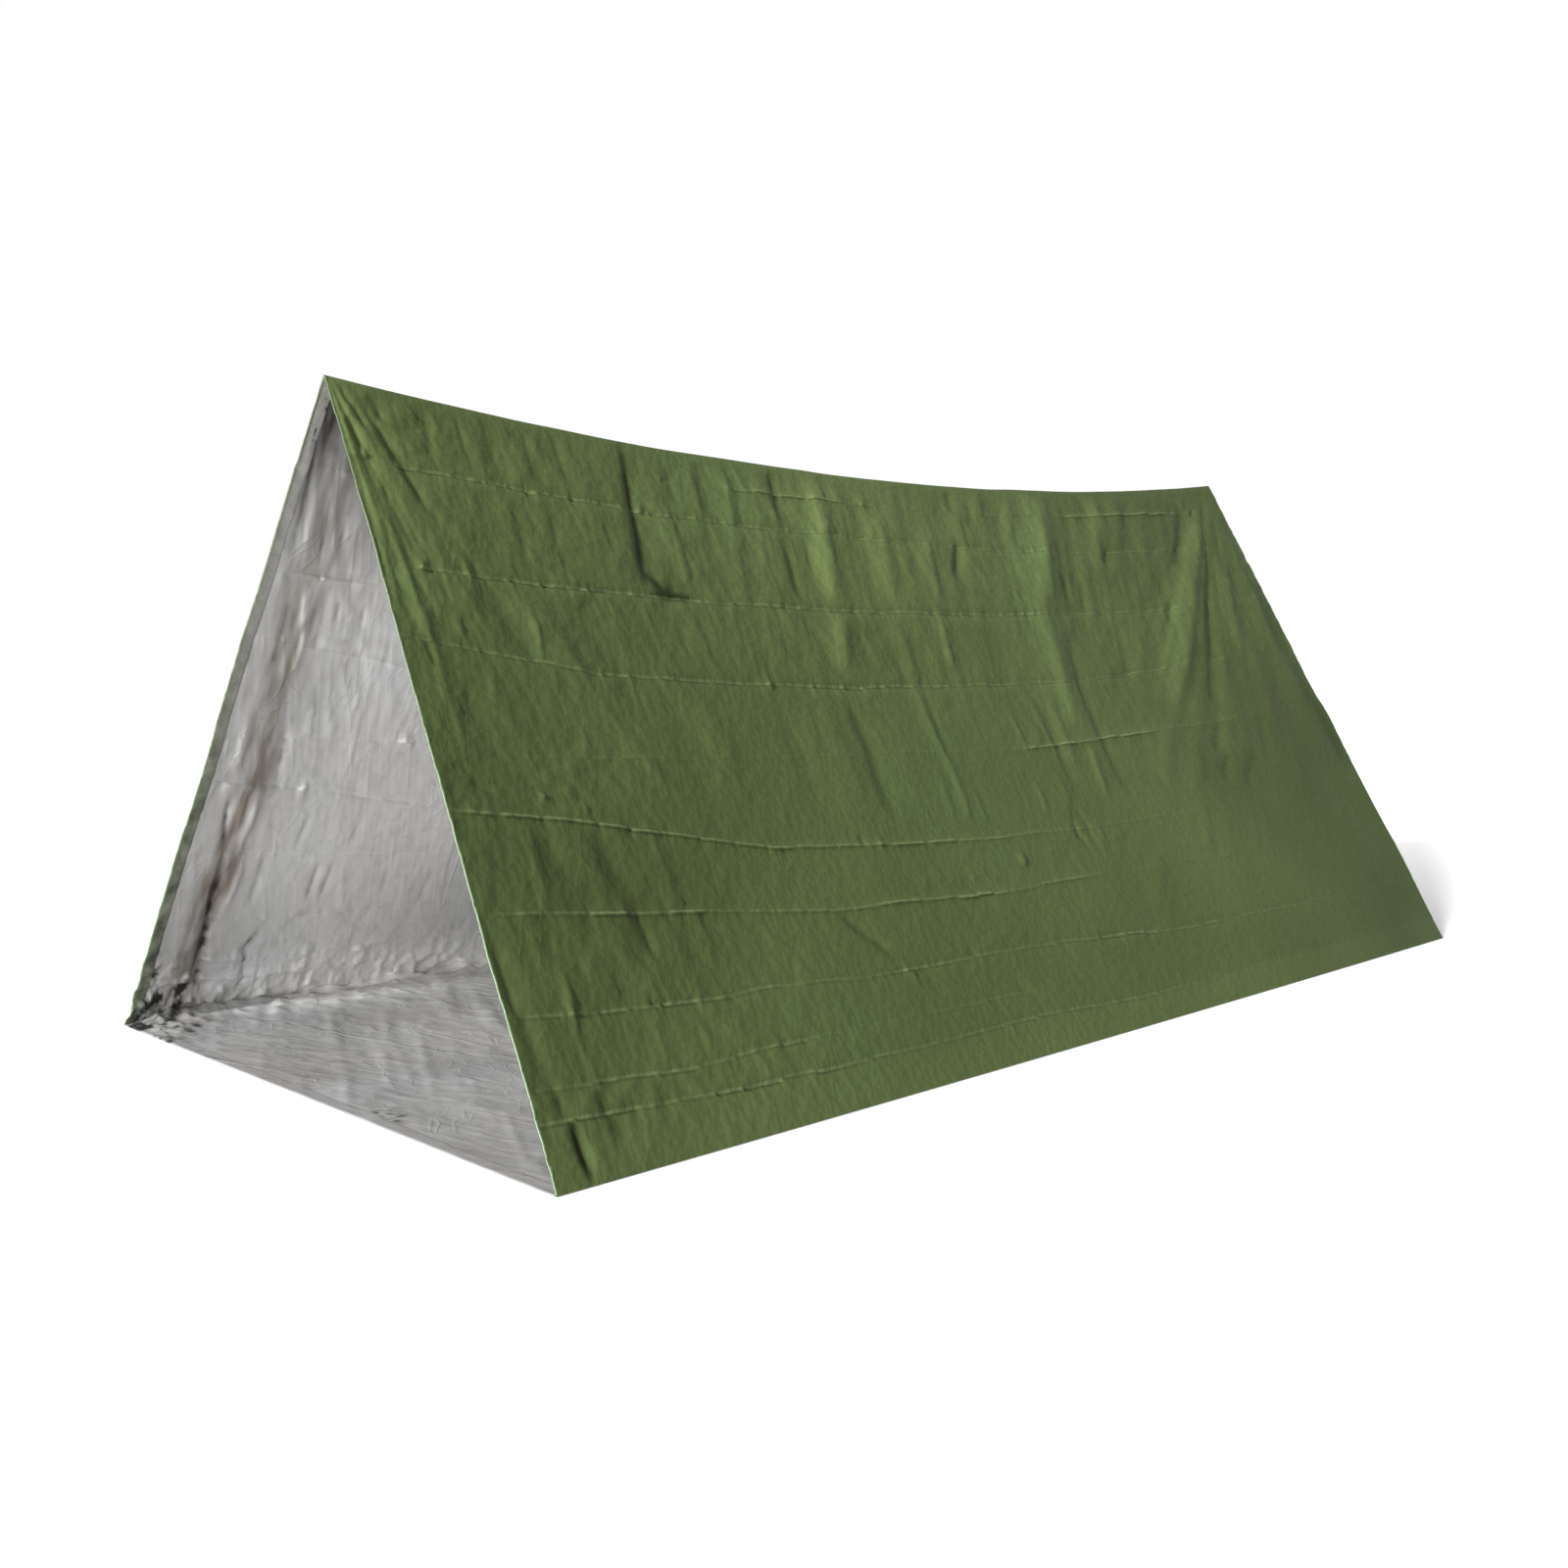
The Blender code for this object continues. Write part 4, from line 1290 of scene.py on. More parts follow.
def placed_folds(side, x, y, seed):
    """The placed relief, with painted dark specks and painted shade along its grooves."""
    folds, marks, knots = PLACED[side]
    wx = x + WANDER_ALONG * MM * soft_noise(x, y, 0.06, seed + 1)
    wy = y + WANDER_DOWN * MM * soft_noise(x, y, 0.07, seed + 2)
    placed = np.zeros(x.shape)
    painted_dark = np.zeros(x.shape)
    painted_fold_shade = np.zeros(x.shape)
    for path, height, left, right in folds:
        at_front = path[0][0] < FRONT_PART
        gain = 1 if side == RIGHT or path[0][1] > APEX_PART else APEX_GAIN
        tall = gain * height * (side if side == RIGHT or at_front else 1)
        press_fold(placed, wx, wy, path, tall, left, right)
        # Painted shade in deep grooves, and painted dark specks on the silver along grooves near the
        # front
        if tall < DEEP_GROOVE:
            press_fold(painted_fold_shade, wx, wy, path, -tall / 10, 0.5 * left, 0.4 * left)
        if height < 0 and at_front:
            press_fold(painted_dark, wx, wy, path, -height * PAINTED_DARK_GAIN, 0.6 * left, 0.6 * right)
    for path, height, left, right in marks:
        tall = MARK_GAIN * height * side
        press_fold(placed, wx, wy, path, tall, left, right, MARK_TAPER, MARK_PINCH)
    for place, height, radius in knots:
        press_knot(placed, x, y, place, MARK_GAIN * height * side, radius)
    painted_dark = np.clip(painted_dark / MM, 0, 1) * ease(crinkle(x, y, 0.03, seed + 3) + 0.35, 0.8)
    return placed, painted_dark, painted_fold_shade


print("placed folds, marks and knots ready")

# %% [markdown]
# ## Creases and crinkle
# A packing crease is a narrow line with a low step beside it. Just above it lies a pale line,
# stress whitening with a painted highlight, and just below it a dark line of painted shade. The
# crinkle between the folds is noise. At the left wall's foot the crinkle is heaped up. Heights and
# widths are in millimetres.

# %% Press the level creases and the crinkle
CREASE_HEIGHT = 2.8
CREASE_WIDTH = 3.4
CREASE_PALE = 0.56
CREASE_SHADE = 0.95
CREASE_STEP = 1.2
TONE_OFFSET = 2.0
TONE_WIDTH = 1.6
BROAD_CRINKLE = 1.3
FINE_CRINKLE = 0.7
SUNK_CRINKLE = 1.0
FINE_WAVES = 0.7
HEAP_REACH = 0.10
HEAP_BROAD = 6.5
HEAP_MIDDLE = 4.8
HEAP_FINE = 1.8


def level_creases(side, x, y, seed, painted_fold_shade):
    """The creases' relief and pale lines (whitening with a painted highlight). Adds painted shade below.
    """
    creased = np.zeros(x.shape)
    worn_and_highlight = np.zeros(x.shape)
    for number, crease in enumerate(PACKING_CREASES):
        strength = crease_strength(crease, x, number + (0 if side == RIGHT else 20))
        away = y - crease_down(crease, x)
        step_side = np.sign(soft_noise(x, 0 * x + number, 0.12, seed + 60 + number, 1))
        step = CREASE_STEP * MM * step_side
        line = np.exp(-((np.abs(away) / (CREASE_WIDTH * MM)) ** 1.5))
        creased += crease["side"] * CREASE_HEIGHT * MM * strength * line
        creased += strength * step * np.exp(-((np.abs(away - 6 * MM) / (9 * MM)) ** 2)) * 0.5
        sharp = np.clip(strength, 0, 1.6)
        # Pale line above: stress whitening with a painted highlight. Dark line below: painted shade.
        above = np.exp(-(((away + TONE_OFFSET * MM) / (TONE_WIDTH * MM)) ** 2))
        below = np.exp(-(((away - TONE_OFFSET * MM) / (TONE_WIDTH * MM)) ** 2))
        worn_and_highlight += CREASE_PALE * sharp * above
        painted_fold_shade += CREASE_SHADE * MM * sharp * below
    return creased, worn_and_highlight


def fine_crinkle(side, x, y, seed):
    """The crinkle between the folds, heaped up at the left wall's foot."""
    loose = 1 - 0.65 * ease(y - 0.30, 0.40) * ease(x - 0.2, 0.5)
    crinkled = BROAD_CRINKLE * MM * crinkle(x, y, 0.12, seed + 70) * loose
    crinkled = crinkled + FINE_CRINKLE * MM * crinkle(x, y, 0.050, seed + 80) * loose
    crinkled = crinkled - SUNK_CRINKLE * MM * crinkle(x, 1.6 * y, 0.070, seed + 90) * loose
    crinkled = crinkled + FINE_WAVES * MM * soft_noise(x / 1.6, y, 0.016, seed + 95) * loose
    if side == LEFT:
        heaped = np.exp(-(((SLOPE_LENGTH - y) / HEAP_REACH) ** 2)) * (1 - 0.6 * ease(x - 0.9, 0.6))
        heap = HEAP_BROAD * crinkle(x, y, 0.075, 431)
        heap = heap + HEAP_MIDDLE * crinkle(1.5 * x, y, 0.040, 441)
        heap = heap + HEAP_FINE * crinkle(x, y, 0.021, 451)
        crinkled = crinkled - MM * heap * heaped
    return crinkled


print("creases and crinkle ready")

# %% [markdown]
# ## The relief of a wall
# All of it adds up to one number for each point: how far the film stands out of the flat wall.
# The film is straight along the ridge and the foot, so the relief fades there. The wall also
# hangs inwards a little at its middle, like a slack sheet.

# %% Add up the relief
SWELL_HEIGHT = 3.5
STREAK_HEIGHT = 2.0
REAR_FAN_HEIGHT = 2.8
FRONT_FAN_HEIGHT = 1.4


def wall_relief(side, x, y):
    """How far one wall stands out, with its pale crease lines, painted shade and painted dark specks."""
    seed = SEEDS[side]
    placed, painted_dark, painted_fold_shade = placed_folds(side, x, y, seed)
    creased, worn_and_highlight = level_creases(side, x, y, seed, painted_fold_shade)
    swells = SWELL_HEIGHT * MM * soft_noise(x, y, 0.34, seed + 10, 2)
    streaks = STREAK_HEIGHT * MM * hanging_streaks(x, y, seed + 20)
    streaks = streaks + REAR_FAN_HEIGHT * MM * rear_fan(x, y, seed + 30)
    streaks = streaks + FRONT_FAN_HEIGHT * MM * front_fan(x, y, seed + 40)
    crinkled = fine_crinkle(side, x, y, seed)

    hung = ease(y + 0.004, 0.05)
    footed = ease(SLOPE_LENGTH - y, 0.03)
    relief = (placed + swells * ease(y, 0.2) * ease(SLOPE_LENGTH - y, 0.2)) * hung * footed
    relief = relief + (streaks * ease(y + 0.01, 0.04) + creased + crinkled) * footed * hung
    belly = WALL_BELLY * swell(x / TENT_LENGTH) * swell(np.clip(y / SLOPE_LENGTH, 0, 1))
    wear_and_shade = {"worn_and_highlight": np.clip(worn_and_highlight, 0, 1), "painted_dark": painted_dark, "painted_fold_shade": painted_fold_shade / MM}
    return relief - belly, wear_and_shade


right_relief, right_wear_and_shade = wall_relief(RIGHT, right_x, right_y)
left_relief, left_wear_and_shade = wall_relief(LEFT, left_x, left_y)
for name, relief in (("right", right_relief), ("left", left_relief)):
    lowest, highest = round(relief.min() / MM, 1), round(relief.max() / MM, 1)
    print(name, "relief from", lowest, "to", highest, "mm")

# %% [markdown]
# ## The front left corner
# Where the left wall's tight folds meet the floor the film is crumpled, and wall and floor are
# crumpled together. So this crumple is not a relief but a push in space: any point near the
# corner is pushed by the same rule, whichever sheet it belongs to.


# %% Crumple the corner
CORNER = (-FLOOR_WIDTH / 2, -TENT_LENGTH / 2, 0.0)
CORNER_REACH = (0.210, 0.130, 0.150)
CORNER_LIFT = 12
CORNER_PUSH_IN = 9
CORNER_PUSH_BACK = 4


def crumple_corner(points):
    """Pushes the points near the front left corner, up and inwards only."""
    away = points - np.array(CORNER)
    near = 1 - ease(np.sqrt(((away / np.array(CORNER_REACH)) ** 2).sum(-1)), 1.0)
    a = away[..., 0] + 0.7 * away[..., 2]
    b = away[..., 1] + 0.5 * away[..., 2]
    first = np.abs(soft_noise(a, b, 0.018, 501, 2))
    second = np.abs(soft_noise(b, a, 0.015, 511, 2))
    near = near * ease(away[..., 1] - HEM_WIDTH * 0.4, 0.02)
    pushed = points.copy()
    pushed[..., 2] += near * CORNER_LIFT * MM * np.clip(first, 0, 1) * ease(away[..., 0] + 0.02, 0.03)
    pushed[..., 0] += near * CORNER_PUSH_IN * MM * np.clip(second, 0, 1)
    pushed[..., 1] += near * CORNER_PUSH_BACK * MM * np.clip(first - second, 0, 1)
    return pushed


print("corner tool ready")

# %% [markdown]
# ## Tones
# Each sheet carries values for its points: its tone, which holds painted light and shade with a
# random drift, pale crease lines that are stress whitening with a painted highlight, painted shade
# with a brown painted reflection, and painted dark specks.


# %% Tones of the films
BRIGHTEST_SILVER = 1.28
SHADE_LOW_WALL = 0.14
SHADE_FRONT = 0.18
SHADE_APEX = 0.48
SHADE_EDGE = 0.20
SILVER_DRIFT = 0.06
BAND_TAPER = 0.12
BAND_PINCH = 2.6
PALE_BELOW_RIDGE = 0.22
PALE_ALONG_FOOT = 0.10
PALE_FRONT_TOP = 0.06
PALE_APEX_EDGE = 0.45
DARK_LOW_FRONT = 0.22
DARK_REAR = 0.23
GREEN_DRIFT = 0.07
FOLD_SHADE_DARKNESS = 0.5


def patch(x, y, place, reach):
    """A soft patch: 1 at its place, about a third at its reach, and less beyond."""
    return np.exp(-(((x - place[0]) / reach[0]) ** 2) - ((y - place[1]) / reach[1]) ** 2)


def green_tone(side, x, y, wear_and_shade, seed):
    """Painted light and shade on the green film, with a random drift of its tone."""
    # Painted light and shade: paler below the ridge, along the foot and beside the front apex, and
    # darker low down at the front and towards the rear
    tone = 1 + PALE_BELOW_RIDGE * patch(x, y, (1.05, 0.10), (0.60, 0.24))
    tone = tone + PALE_ALONG_FOOT * ease(y - 1.12, 0.03)
    tone = tone - DARK_LOW_FRONT * patch(x, y, (0.12, 0.88), (0.26, 0.24))
    tone = tone - DARK_REAR * ease(x - 1.5, 0.7)
    tone = tone + PALE_FRONT_TOP * (1 - ease(x - 0.30, 0.40)) * (1 - ease(y - 0.30, 0.15))
    tone = tone + PALE_APEX_EDGE * (1 - ease(x - 0.02, 0.09)) * (1 - ease(y - 0.33, 0.14))
    tone = tone + GREEN_DRIFT * soft_noise(x, y, 0.25, seed, 2)
    # Bands of painted light and shade from the table, and painted shade in deep folds
    bands = np.zeros(x.shape)
    wx = x + 2.5 * MM * soft_noise(x, y, 0.05, seed + 1)
    shared = [band for band in RIGHT_PAINTED_BANDS if side == RIGHT or band[0][0][0] > FRONT_PART]
    for path, strength, left, right in shared:
        press_fold(bands, wx, y, path, strength, left, right, BAND_TAPER, BAND_PINCH)
    shade = 1 - FOLD_SHADE_DARKNESS * np.clip(wear_and_shade["painted_fold_shade"], 0, 1)
    return np.clip(tone + bands / MM, 0.25, 2) * shade


def silver_tone(x, y, seed):
    """Painted light and shade on the silver film, with a random drift."""
    # Painted light along the foot and away from the front; painted shade low on the wall, towards the
    # front, at the front edge and under the apex
    foot = 0.12 + 0.18 * ease(x - 0.30, 0.5)
    tone = 1 + foot * ease(y - 1.05, 0.10) - SHADE_LOW_WALL * ease(y - 0.85, 0.2)
    tone = tone - SHADE_FRONT * (1 - ease(x - 0.06, 0.22))
    tone = tone - SHADE_APEX * (1 - ease(y - 0.04, 0.34)) * (1 - ease(x - 0.10, 0.3))
    painted_light_area = ease(x - 0.12, 0.15) * (1 - ease(y - 0.70, 0.30))
    tone = tone + painted_light_area * (0.11 + 0.13 * ease(x - 0.30, 0.25))
    tone = tone - SHADE_EDGE * (1 - ease(x - 0.03, 0.03))
    tone = tone + SILVER_DRIFT * soft_noise(x, y, 0.2, seed, 2)
    return np.minimum(tone, BRIGHTEST_SILVER)


def painted_dark_corner(points):
    """Painted dark reflections: dark specks between the tight folds of the front left corner."""
    away = (points - np.array(CORNER)) / np.array((0.25, 0.16, 0.17))
    near = 1 - ease(np.sqrt((away**2).sum(-1)), 1.0)
    a = points[..., 0] + 0.6 * points[..., 2]
    b = points[..., 1] - 0.7 * points[..., 2]
    return np.clip(near * 6 * (soft_noise(a, b, 0.015, 88, 2) - 0.16), 0, 1)


def painted_front_shade(x, y):
    """Painted shade with a brown painted reflection, on the left wall's front strip and under the apex.
    """
    strip = np.exp(-(((x - 0.088) / 0.036) ** 4)) * (0.64 + 0.20 * ease(y - 0.55, 0.30))
    strip = strip * ease(y - 0.14, 0.20)
    top = 0.90 * (1 - ease(y - 0.04, 0.26))
    patches = 0.5 + 0.9 * soft_noise(x / 0.018, y / 0.10, 1, 77, 3)
    return np.clip((strip + top) * np.clip(patches, 0.25, 1.2), 0, 1)


print("tones ready")

# %% [markdown]
# ## From the relief to the tent
# The flat wall is stood up: its foot follows the floor's edge, which bows out a little, and its
# top follows the ridge, which sags between the two ends. At the ridge the film goes over the line
# in a tight round fold. The front edge leans back from the foot to the apex.


# %% Place the walls
def half_width(along):
    """Half the floor's width: the foot creases bow out a little between the corners."""
    return FLOOR_WIDTH / 2 + FOOT_BOW * swell(along)


def length_at(along, up):
    """The place along the tent: the front edge leans back from the foot to the apex."""
    front = FRONT_APEX_SETBACK * up - TENT_LENGTH / 2
    drawn_in = 9 * MM * ease(1 - up, 0.45) * ease(up - 0.47, 0.05) * ease(along - 0.93, 0.07)
    return front + (TENT_LENGTH / 2 - front) * along - drawn_in


def wall_points(side, x, y, relief):
    """Points of one wall, from places on the film and their relief."""
    along = x / TENT_LENGTH
    up = 1 - y / SLOPE_LENGTH
    dips = 1.2 * MM * soft_noise(x, 0 * x, 0.16, 7, 2) * swell(np.clip(along, 0, 1)) ** 0.5
    ridge = RIDGE_HEIGHT - RIDGE_SAG * swell(along) + dips
    flat = half_width(along) * (1 - up)
    round_off = (np.hypot(flat, RIDGE_ROUNDING) - flat) * SLOPE_SIN / SLOPE_COS
    across = flat + relief * SLOPE_SIN
    height = FOOT_LIFT + (ridge - FOOT_LIFT) * up + relief * SLOPE_COS - round_off
    return np.stack([side * across, length_at(along, up), height], -1)


def normals_of(points):
    """Unit normals of a grid of points. They point along rows crossed with columns."""
    down = np.gradient(points, axis=0)
    along = np.gradient(points, axis=1)
    normal = np.cross(along, down)
    return normal / np.linalg.norm(normal, axis=-1, keepdims=True)


def outwards(side, points):
    """Normals of a wall's points, turned to face out of the tent."""
    normal = normals_of(points)
    return normal * np.sign(normal[..., :1] * side)


def outer_ply(points, normals):
    """The outer ply lies outside the film's middle. Both walls' outer plies meet at the ridge."""
    ply = points + normals * PLY_OFFSET
    ply[0, :, 0] = 0
    return ply


print("a wall can be stood up")

# %% [markdown]
# ## Making a sheet
# Each ply starts as Blender's own grid, with as many cells as the layout asks for. Its points are
# then moved to their places in one go. The flat cut is kept as the UV map, and the tone, the pale
# crease lines and the painted shade as attributes.


# %% Lay a sheet
TENT_MIDDLE = (0, 0, 0.35)


def lay_sheet(name, points, x, y, material, face_from=TENT_MIDDLE, wear_and_shade=None):
    """A grid whose points are moved to their places. Its front faces away from face_from."""
    deselect_all()
    rows, columns = points.shape[:2]
    bpy.ops.mesh.primitive_grid_add(x_subdivisions=columns - 1, y_subdivisions=rows - 1, size=1)
    sheet = bpy.context.object
    sheet.name = name
    mesh = sheet.data
    mesh.name = name
    start = np.empty(len(mesh.vertices) * 3)
    mesh.vertices.foreach_get("co", start)
    start = start.reshape(-1, 3)
    column = np.rint((start[:, 0] + 0.5) * (columns - 1)).astype(int)
    row = np.rint((start[:, 1] + 0.5) * (rows - 1)).astype(int)
    mesh.vertices.foreach_set("co", points[row, column].ravel())
    corner = np.empty(len(mesh.loops), int)
    mesh.loops.foreach_get("vertex_index", corner)
    flat = np.stack([x[row, column], y[row, column]], -1)[corner] / UV_SPAN
    mesh.uv_layers[0].name = "flat_cut"
    mesh.uv_layers[0].data.foreach_set("uv", flat.ravel())
    for word, values in {"tone": 1 + 0 * x, **(wear_and_shade or {})}.items():
        layer = mesh.attributes.new(word, "FLOAT", "POINT")
        layer.data.foreach_set("value", values[row, column].astype(np.float32))
    mesh.update()
    middle = mesh.polygons[len(mesh.polygons) // 2]
    outside = np.array(middle.center) - np.array(face_from)
    if float(np.dot(np.array(middle.normal), outside)) < 0:
        bpy.ops.object.mode_set(mode="EDIT")
        bpy.ops.mesh.select_all(action="SELECT")
        bpy.ops.mesh.flip_normals()
        bpy.ops.object.mode_set(mode="OBJECT")
    bpy.ops.object.shade_smooth()
    mesh.materials.clear()
    mesh.materials.append(material)
    sheet.select_set(False)
    print(name, len(mesh.polygons) * 2, "triangles")
    return sheet


print("sheet tool ready")

# %% [markdown]
# ## The walls
# Each wall is two sheets, a green one outside and a silver one inside, a millimetre apart.
# Both plies take their shape from the same points, so no fold of one comes through the other.

# %% Right wall
right_points = wall_points(RIGHT, right_x, right_y, right_relief)
right_normals = outwards(RIGHT, right_points)
# Its tone is painted light and shade; its pale crease lines are whitening with a painted highlight
right_outer = lay_sheet(
    "right_wall_green_film",
    outer_ply(right_points, right_normals),
    right_x,
    right_y,
    green_film,
    wear_and_shade={"worn_and_highlight": right_wear_and_shade["worn_and_highlight"], "tone": green_tone(RIGHT, right_x, right_y, right_wear_and_shade, 5)},
)
# Its tone is painted light and shade, and its dark specks are painted shade
right_inner = lay_sheet(
    "right_wall_silver_film",
    right_points - right_normals * PLY_OFFSET,
    right_x,
    right_y,
    silver_film,
    face_from=(3, 0, 2),
    wear_and_shade={"painted_dark": 0.3 * right_wear_and_shade["painted_dark"], "tone": silver_tone(right_x, right_y, 15)},
)

# %% Left wall
left_points = crumple_corner(wall_points(LEFT, left_x, left_y, left_relief))
left_normals = outwards(LEFT, left_points)
# Its tone is painted light and shade; its pale crease lines are whitening with a painted highlight
left_outer = lay_sheet(
    "left_wall_green_film",
    outer_ply(left_points, left_normals),
    left_x,
    left_y,
    green_film,
    wear_and_shade={"worn_and_highlight": left_wear_and_shade["worn_and_highlight"], "tone": green_tone(LEFT, left_x, left_y, left_wear_and_shade, 25)},
)
# Its tone is painted light and shade; it also carries painted dark specks and painted shade with a brown
# painted reflection
left_inner = lay_sheet(
    "left_wall_silver_film",
    left_points - left_normals * PLY_OFFSET,
    left_x,
    left_y,
    silver_film,
    face_from=(-3, 0, 2),
    wear_and_shade={
        "painted_dark": np.maximum(left_wear_and_shade["painted_dark"], painted_dark_corner(left_points)),
        "painted_shade_and_reflection": painted_front_shade(left_x, left_y),
        "tone": silver_tone(left_x, left_y, 6),
    },
)

# %% [markdown]
# ## The floor
# The floor is the same film, laid flat. It is crumpled along the left foot crease, where the tube
# was closed, and it carries long low wrinkles that run towards the front right corner.

# %% Floor
FLOOR_COLUMNS = 360
FLOOR_ROWS = 200
FLOOR_SLANT = 28
FLOOR_SWELLS = 2.2
FLOOR_STREAKS = 2.6
FLOOR_HEAP_BROAD = 7.0
FLOOR_HEAP_FINE = 3.5
FLOOR_CRINKLE_BROAD = 1.6
FLOOR_CRINKLE_FINE = 0.9
KNOT_HEIGHT = 4
CLIMB_HEIGHT = 12
CLIMB_REACH = 0.045
CLIMB_INSET = 0.0008
GROUND_PLY_STEP = 4
SLANT_COS = math.cos(math.radians(FLOOR_SLANT))
SLANT_SIN = math.sin(math.radians(FLOOR_SLANT))

floor_share = columns_along(FLOOR_COLUMNS, RIGHT_CROWDING)
floor_across = np.linspace(-1, 1, FLOOR_ROWS)
floor_along, floor_side = np.meshgrid(floor_share, floor_across)
floor_x = floor_along * TENT_LENGTH
floor_y = floor_side * half_width(floor_along)


def floor_relief(x, y):
    """How far the floor's film stands up, at places on it."""
    from_left = y + FLOOR_WIDTH / 2
    low = FLOOR_SWELLS * MM * np.clip(soft_noise(x, y, 0.22, 611, 2) + 0.6, 0, 2)
    across, along = x * SLANT_COS + y * SLANT_SIN, y * SLANT_COS - x * SLANT_SIN
    slant = soft_noise(across / 0.030, along / 0.34, 1, 621, 2)
    slant = FLOOR_STREAKS * MM * np.clip(slant, 0, 2)
    left_foot = np.exp(-((from_left / 0.13) ** 2))
    heap = FLOOR_HEAP_BROAD * MM * crinkle(x, y, 0.085, 631) * left_foot
    heap = heap + FLOOR_HEAP_FINE * MM * crinkle(x, y, 0.040, 641) * left_foot
    fine = FLOOR_CRINKLE_BROAD * MM * crinkle(x, y, 0.10, 651)
    fine = fine + FLOOR_CRINKLE_FINE * MM * crinkle(x, y, 0.05, 661)
    knot = KNOT_HEIGHT * MM * np.exp(-(((x - 0.03) ** 2 + (y - 0.17) ** 2) / 0.0004) ** 0.8)
    edge = ease(FLOOR_WIDTH / 2 - np.abs(y), 0.02)
    ends = 0.15 + 0.85 * ease(x, 0.06) * ease(TENT_LENGTH - x, 0.06)
    return (low + slant + heap + fine) * edge * ends + knot


def climb_left_wall(points, x):
    """The floor does not meet the left wall in a sharp line: it rises along its foot."""
    edge = points[..., 0] + half_width(x / TENT_LENGTH)
    height = CLIMB_HEIGHT * MM * np.clip(1 + 0.8 * soft_noise(x, 0 * x, 0.055, 671, 3), 0.3, 1.8)
    height = height * ease(x - 0.02, 0.05) * ease(TENT_LENGTH - 0.02 - x, 0.05)
    near = 1 - ease(edge, CLIMB_REACH)
    rise = height * near**1.5
    climbed = points.copy()
    climbed[..., 2] += rise
    climbed[..., 0] += rise * SLOPE_COS / SLOPE_SIN * near + CLIMB_INSET
    return climbed


def floor_tone(x, y):
    """The floor is duller than the walls, and paler along the left foot: painted light there."""
    heaped = np.exp(-(((y + FLOOR_WIDTH / 2) / 0.085) ** 2))
    return 0.27 + 0.04 * soft_noise(x, y, 0.15, 8) + 0.78 * heaped * ease(x - 0.10, 0.3)


def painted_dark_knot(x, y):
    """Painted dark reflections: dark specks round the small knot at the front edge."""
    near = patch(x, y, (0.022, 0.17), (0.022, 0.040))
    return np.clip(near * 4 * (soft_noise(x, y, 0.010, 92, 2) - 0.05), 0, 1)


relief = floor_relief(floor_x, floor_y)
floor_points = np.stack(
    [floor_y, length_at(floor_along, 0 * floor_along), FLOOR_LIFT + relief], -1
)
floor_points = crumple_corner(climb_left_wall(floor_points, floor_x))
print("floor wrinkles up to", round(relief.max() / MM, 1), "mm")
# The floor's tone holds painted light along the left foot; its dark specks are painted dark reflections
floor_inner = lay_sheet(
    "floor_silver_film",
    floor_points,
    floor_x,
    floor_y,
    silver_film,
    face_from=(0, 0, -2),
    wear_and_shade={
        "tone": floor_tone(floor_x, floor_y),
        "painted_dark": np.maximum(painted_dark_corner(floor_points), painted_dark_knot(floor_x, floor_y)),
    },
)
ground_height = 0 * floor_x + GROUND_PLY_HEIGHT
under = np.stack([floor_y, length_at(floor_along, 0 * floor_along), ground_height], -1)
sparse = slice(None, None, GROUND_PLY_STEP)
floor_outer = lay_sheet(
    "floor_green_film",
    under[sparse, sparse],
    floor_x[sparse, sparse],
    floor_y[sparse, sparse],
    green_film,
    face_from=(0, 0, 2),
)

# %% [markdown]
# ## The hems
# A hem is a strip bent round the cut edge: a narrow lip outside, the fold, and a wider part
# inside. Its cross-section is a list of places: how far in from the edge and how far off the
# film, in millimetres, and the share of the lip's colour. The strip takes its bends from the
# same relief as the wall, so it follows every fold.

# %% Hems of the walls
HEM_SECTION = (
    (2.2, 0.70, 1.0),
    (1.0, 0.85, 1.0),
    (0.0, 0.80, 1.0),
    (-0.7, 0.10, 1.0),
    (0.0, -1.10, 0.8),
    (2.0, -1.30, 0.3),
    (6.0, -1.35, 0.0),
    (10.0, -1.40, 0.0),
    (15.0, -1.40, 0.0),
    (19.0, -1.30, 0.0),
    (20.0, -1.00, 0.1),
)
HEM_ROWS = 420
HEM_PROBES = 11
PROBE_STEP = 2
HEM_GAP_AT_FOOT = 0.002


def hem_of_wall(name, side, front):
    """The strip along one wall's cut edge."""
    section = np.array(HEM_SECTION)
    steps = section[:, 0] * MM
    x = steps if front else TENT_LENGTH - steps
    even = np.linspace(0, HEM_WIDTH, HEM_PROBES)
    even = even if front else TENT_LENGTH - even
    down = np.linspace(0.0, SLOPE_LENGTH - HEM_GAP_AT_FOOT, HEM_ROWS)
    even, even_y = np.meshgrid(even, down)
    even_relief, _ = wall_relief(side, even, even_y)
    even_points = wall_points(side, even, even_y, even_relief)
    even_points = crumple_corner(even_points) if side == LEFT else even_points
    nearest = np.clip(np.rint(steps / (PROBE_STEP * MM)), 0, HEM_PROBES - 1).astype(int)
    normal = outwards(side, even_points)[:, nearest]
    x, y = np.meshgrid(x, down)
    points = wall_points(side, x, y, even_relief[:, nearest])
    points = crumple_corner(points) if side == LEFT else points
    points = points + normal * section[:, 1, None] * MM
    lip = np.broadcast_to(section[:, 2], x.shape)
    values = {"lip": lip, "down": y / SLOPE_LENGTH}
    return lay_sheet(name, points, x, y, hem_film, wear_and_shade=values)


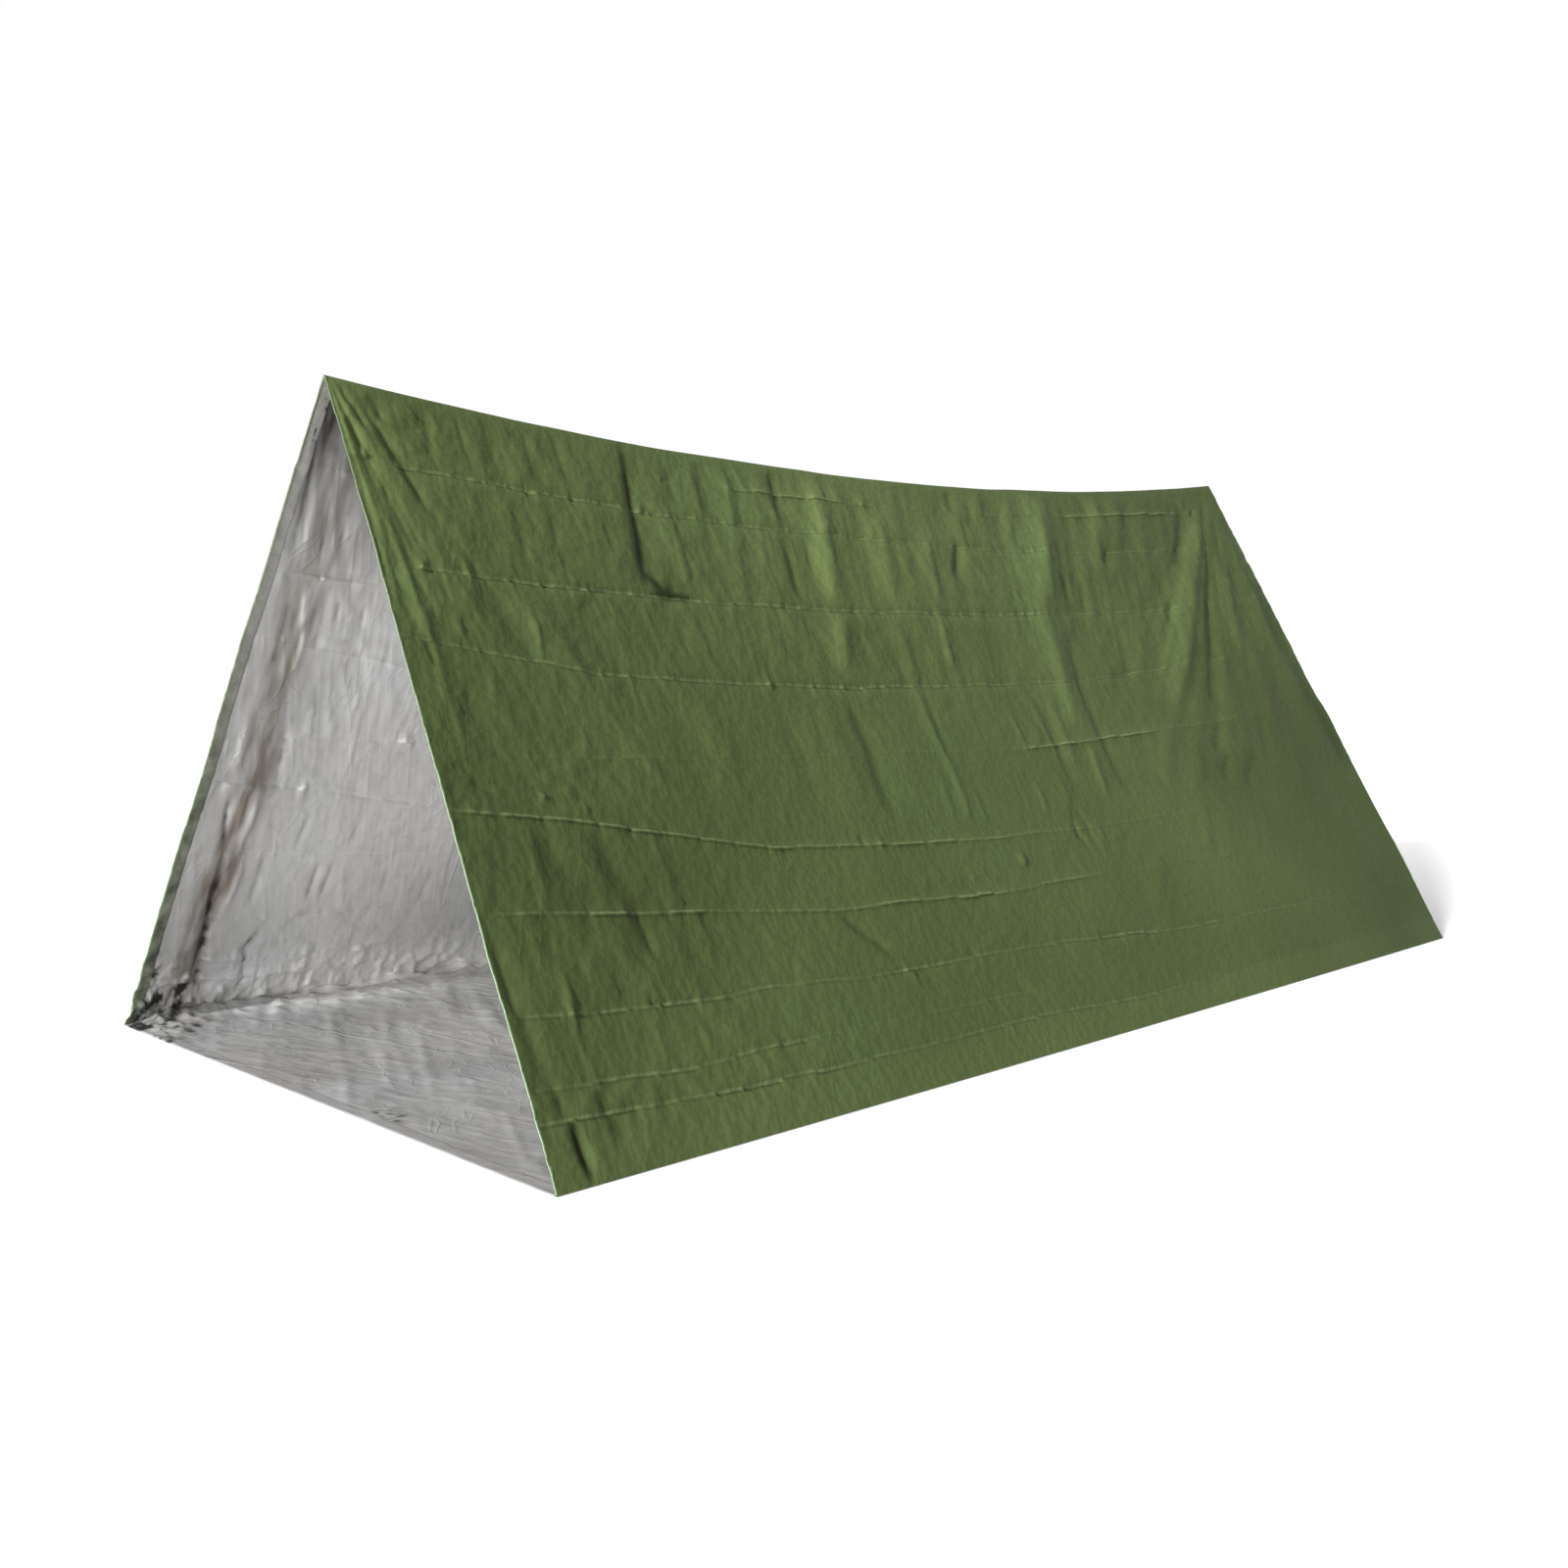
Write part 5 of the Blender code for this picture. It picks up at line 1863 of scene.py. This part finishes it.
front_hem_right = hem_of_wall("front_hem_right_strip", RIGHT, True)
front_hem_left = hem_of_wall("front_hem_left_strip", LEFT, True)
rear_hem_right = hem_of_wall("rear_hem_right_strip", RIGHT, False)
rear_hem_left = hem_of_wall("rear_hem_left_strip", LEFT, False)


# %% [markdown]
# ## Hems of the floor
# The floor's cut edges are folded in the same way. Their lip lies on the ground, and their
# inner part is rubbed film, as dull as the floor near it.

# %% Hems of the floor
HEM_TONE = 0.25
LIP_HEIGHT = 0.0004
HEM_PRESSED = 0.6
HEM_END = 0.995


def hem_of_floor(name, front):
    """The strip along the floor's cut edge."""
    section = np.array(HEM_SECTION)
    steps = section[:, 0] * MM
    x = steps if front else TENT_LENGTH - steps
    x, share = np.meshgrid(x, np.linspace(-HEM_END, HEM_END, HEM_ROWS))
    y = share * half_width(np.clip(x / TENT_LENGTH, 0, 1))
    lift = floor_relief(x, y)
    height = FLOOR_LIFT + lift - section[:, 1] * MM * HEM_PRESSED
    height = np.where(section[:, 1] > 0, LIP_HEIGHT, height)
    points = np.stack([y, x - TENT_LENGTH / 2, height], -1)
    points = crumple_corner(points)
    # The corner's dark specks are painted dark reflections
    wear_and_shade = {"tone": HEM_TONE + 0 * x, "painted_dark": painted_dark_corner(points)}
    return lay_sheet(name, points, x, y, silver_film, (0, 0, -2), wear_and_shade)


front_hem_floor = hem_of_floor("front_hem_floor_strip", True)
rear_hem_floor = hem_of_floor("rear_hem_floor_strip", False)

# %% [markdown]
# ## The closing seam
# The tube is closed by a welded overlap, 30 mm wide, beside the left foot crease. It lies on the
# floor's film and follows its wrinkles.

# %% Closing seam
SEAM_LIFT = 0.0009
SEAM_START = 0.004
SEAM_COLUMNS = 300
SEAM_ROWS = 8
SEAM_TONE = 1.08

seam_along = np.linspace(HEM_WIDTH, TENT_LENGTH - HEM_WIDTH, SEAM_COLUMNS)
seam_across = np.linspace(SEAM_START, SEAM_WIDTH, SEAM_ROWS)
seam_x, seam_step = np.meshgrid(seam_along, seam_across)
seam_y = seam_step - half_width(seam_x / TENT_LENGTH)
seam_height = FLOOR_LIFT + floor_relief(seam_x, seam_y) + SEAM_LIFT
seam_points = np.stack([seam_y, seam_x - TENT_LENGTH / 2, seam_height], -1)
seam_points = crumple_corner(climb_left_wall(seam_points, seam_x))
# The seam takes the floor's tone, with its painted light along the left foot
closing_seam = lay_sheet(
    "closing_seam_strip",
    seam_points,
    seam_x,
    seam_y,
    silver_film,
    (0, 0, -2),
    {"tone": SEAM_TONE * floor_tone(seam_x, seam_y), "painted_dark": painted_dark_corner(seam_points)},
)

# %% [markdown]
# ## How it moves
# When the ridge line is slackened the ridge comes down and the walls fold, while the floor stays.
# Each sheet is bound to the tent's body here, and the plain solids that it stands for are hidden.
# A blend between the two bodies would turn the middle of a wall inside out.

# %% Bind the sheets to the bodies
STANDS_FOR = {
    right_outer: ("right_wall_outer_film", "ridge_outer_film"),
    right_inner: ("right_wall_inner_film", "ridge_inner_film"),
    left_outer: ("left_wall_outer_film", "ridge_outer_film"),
    left_inner: ("left_wall_inner_film", "ridge_inner_film"),
    front_hem_right: ("front_hem_right", "front_hem_ridge"),
    front_hem_left: ("front_hem_left", "front_hem_ridge"),
    rear_hem_right: ("rear_hem_right", "rear_hem_ridge"),
    rear_hem_left: ("rear_hem_left", "rear_hem_ridge"),
    floor_inner: ("floor_inner_film",),
    floor_outer: ("floor_outer_film",),
    front_hem_floor: ("front_hem_floor",),
    rear_hem_floor: ("rear_hem_floor",),
    closing_seam: ("floor_closing_seam",),
}
for sheet, stands_for in STANDS_FOR.items():
    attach(sheet, "tent")
    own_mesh(sheet)
    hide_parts(*stands_for)

# %% [markdown]
# ## What each sheet was cut from
# The film is cut from a roll. Each wall is a rectangle as long as the tent and as wide as the
# slope, and the floor is as wide as the tent's foot. The hems are strips of the same length.

print("all sheets laid")
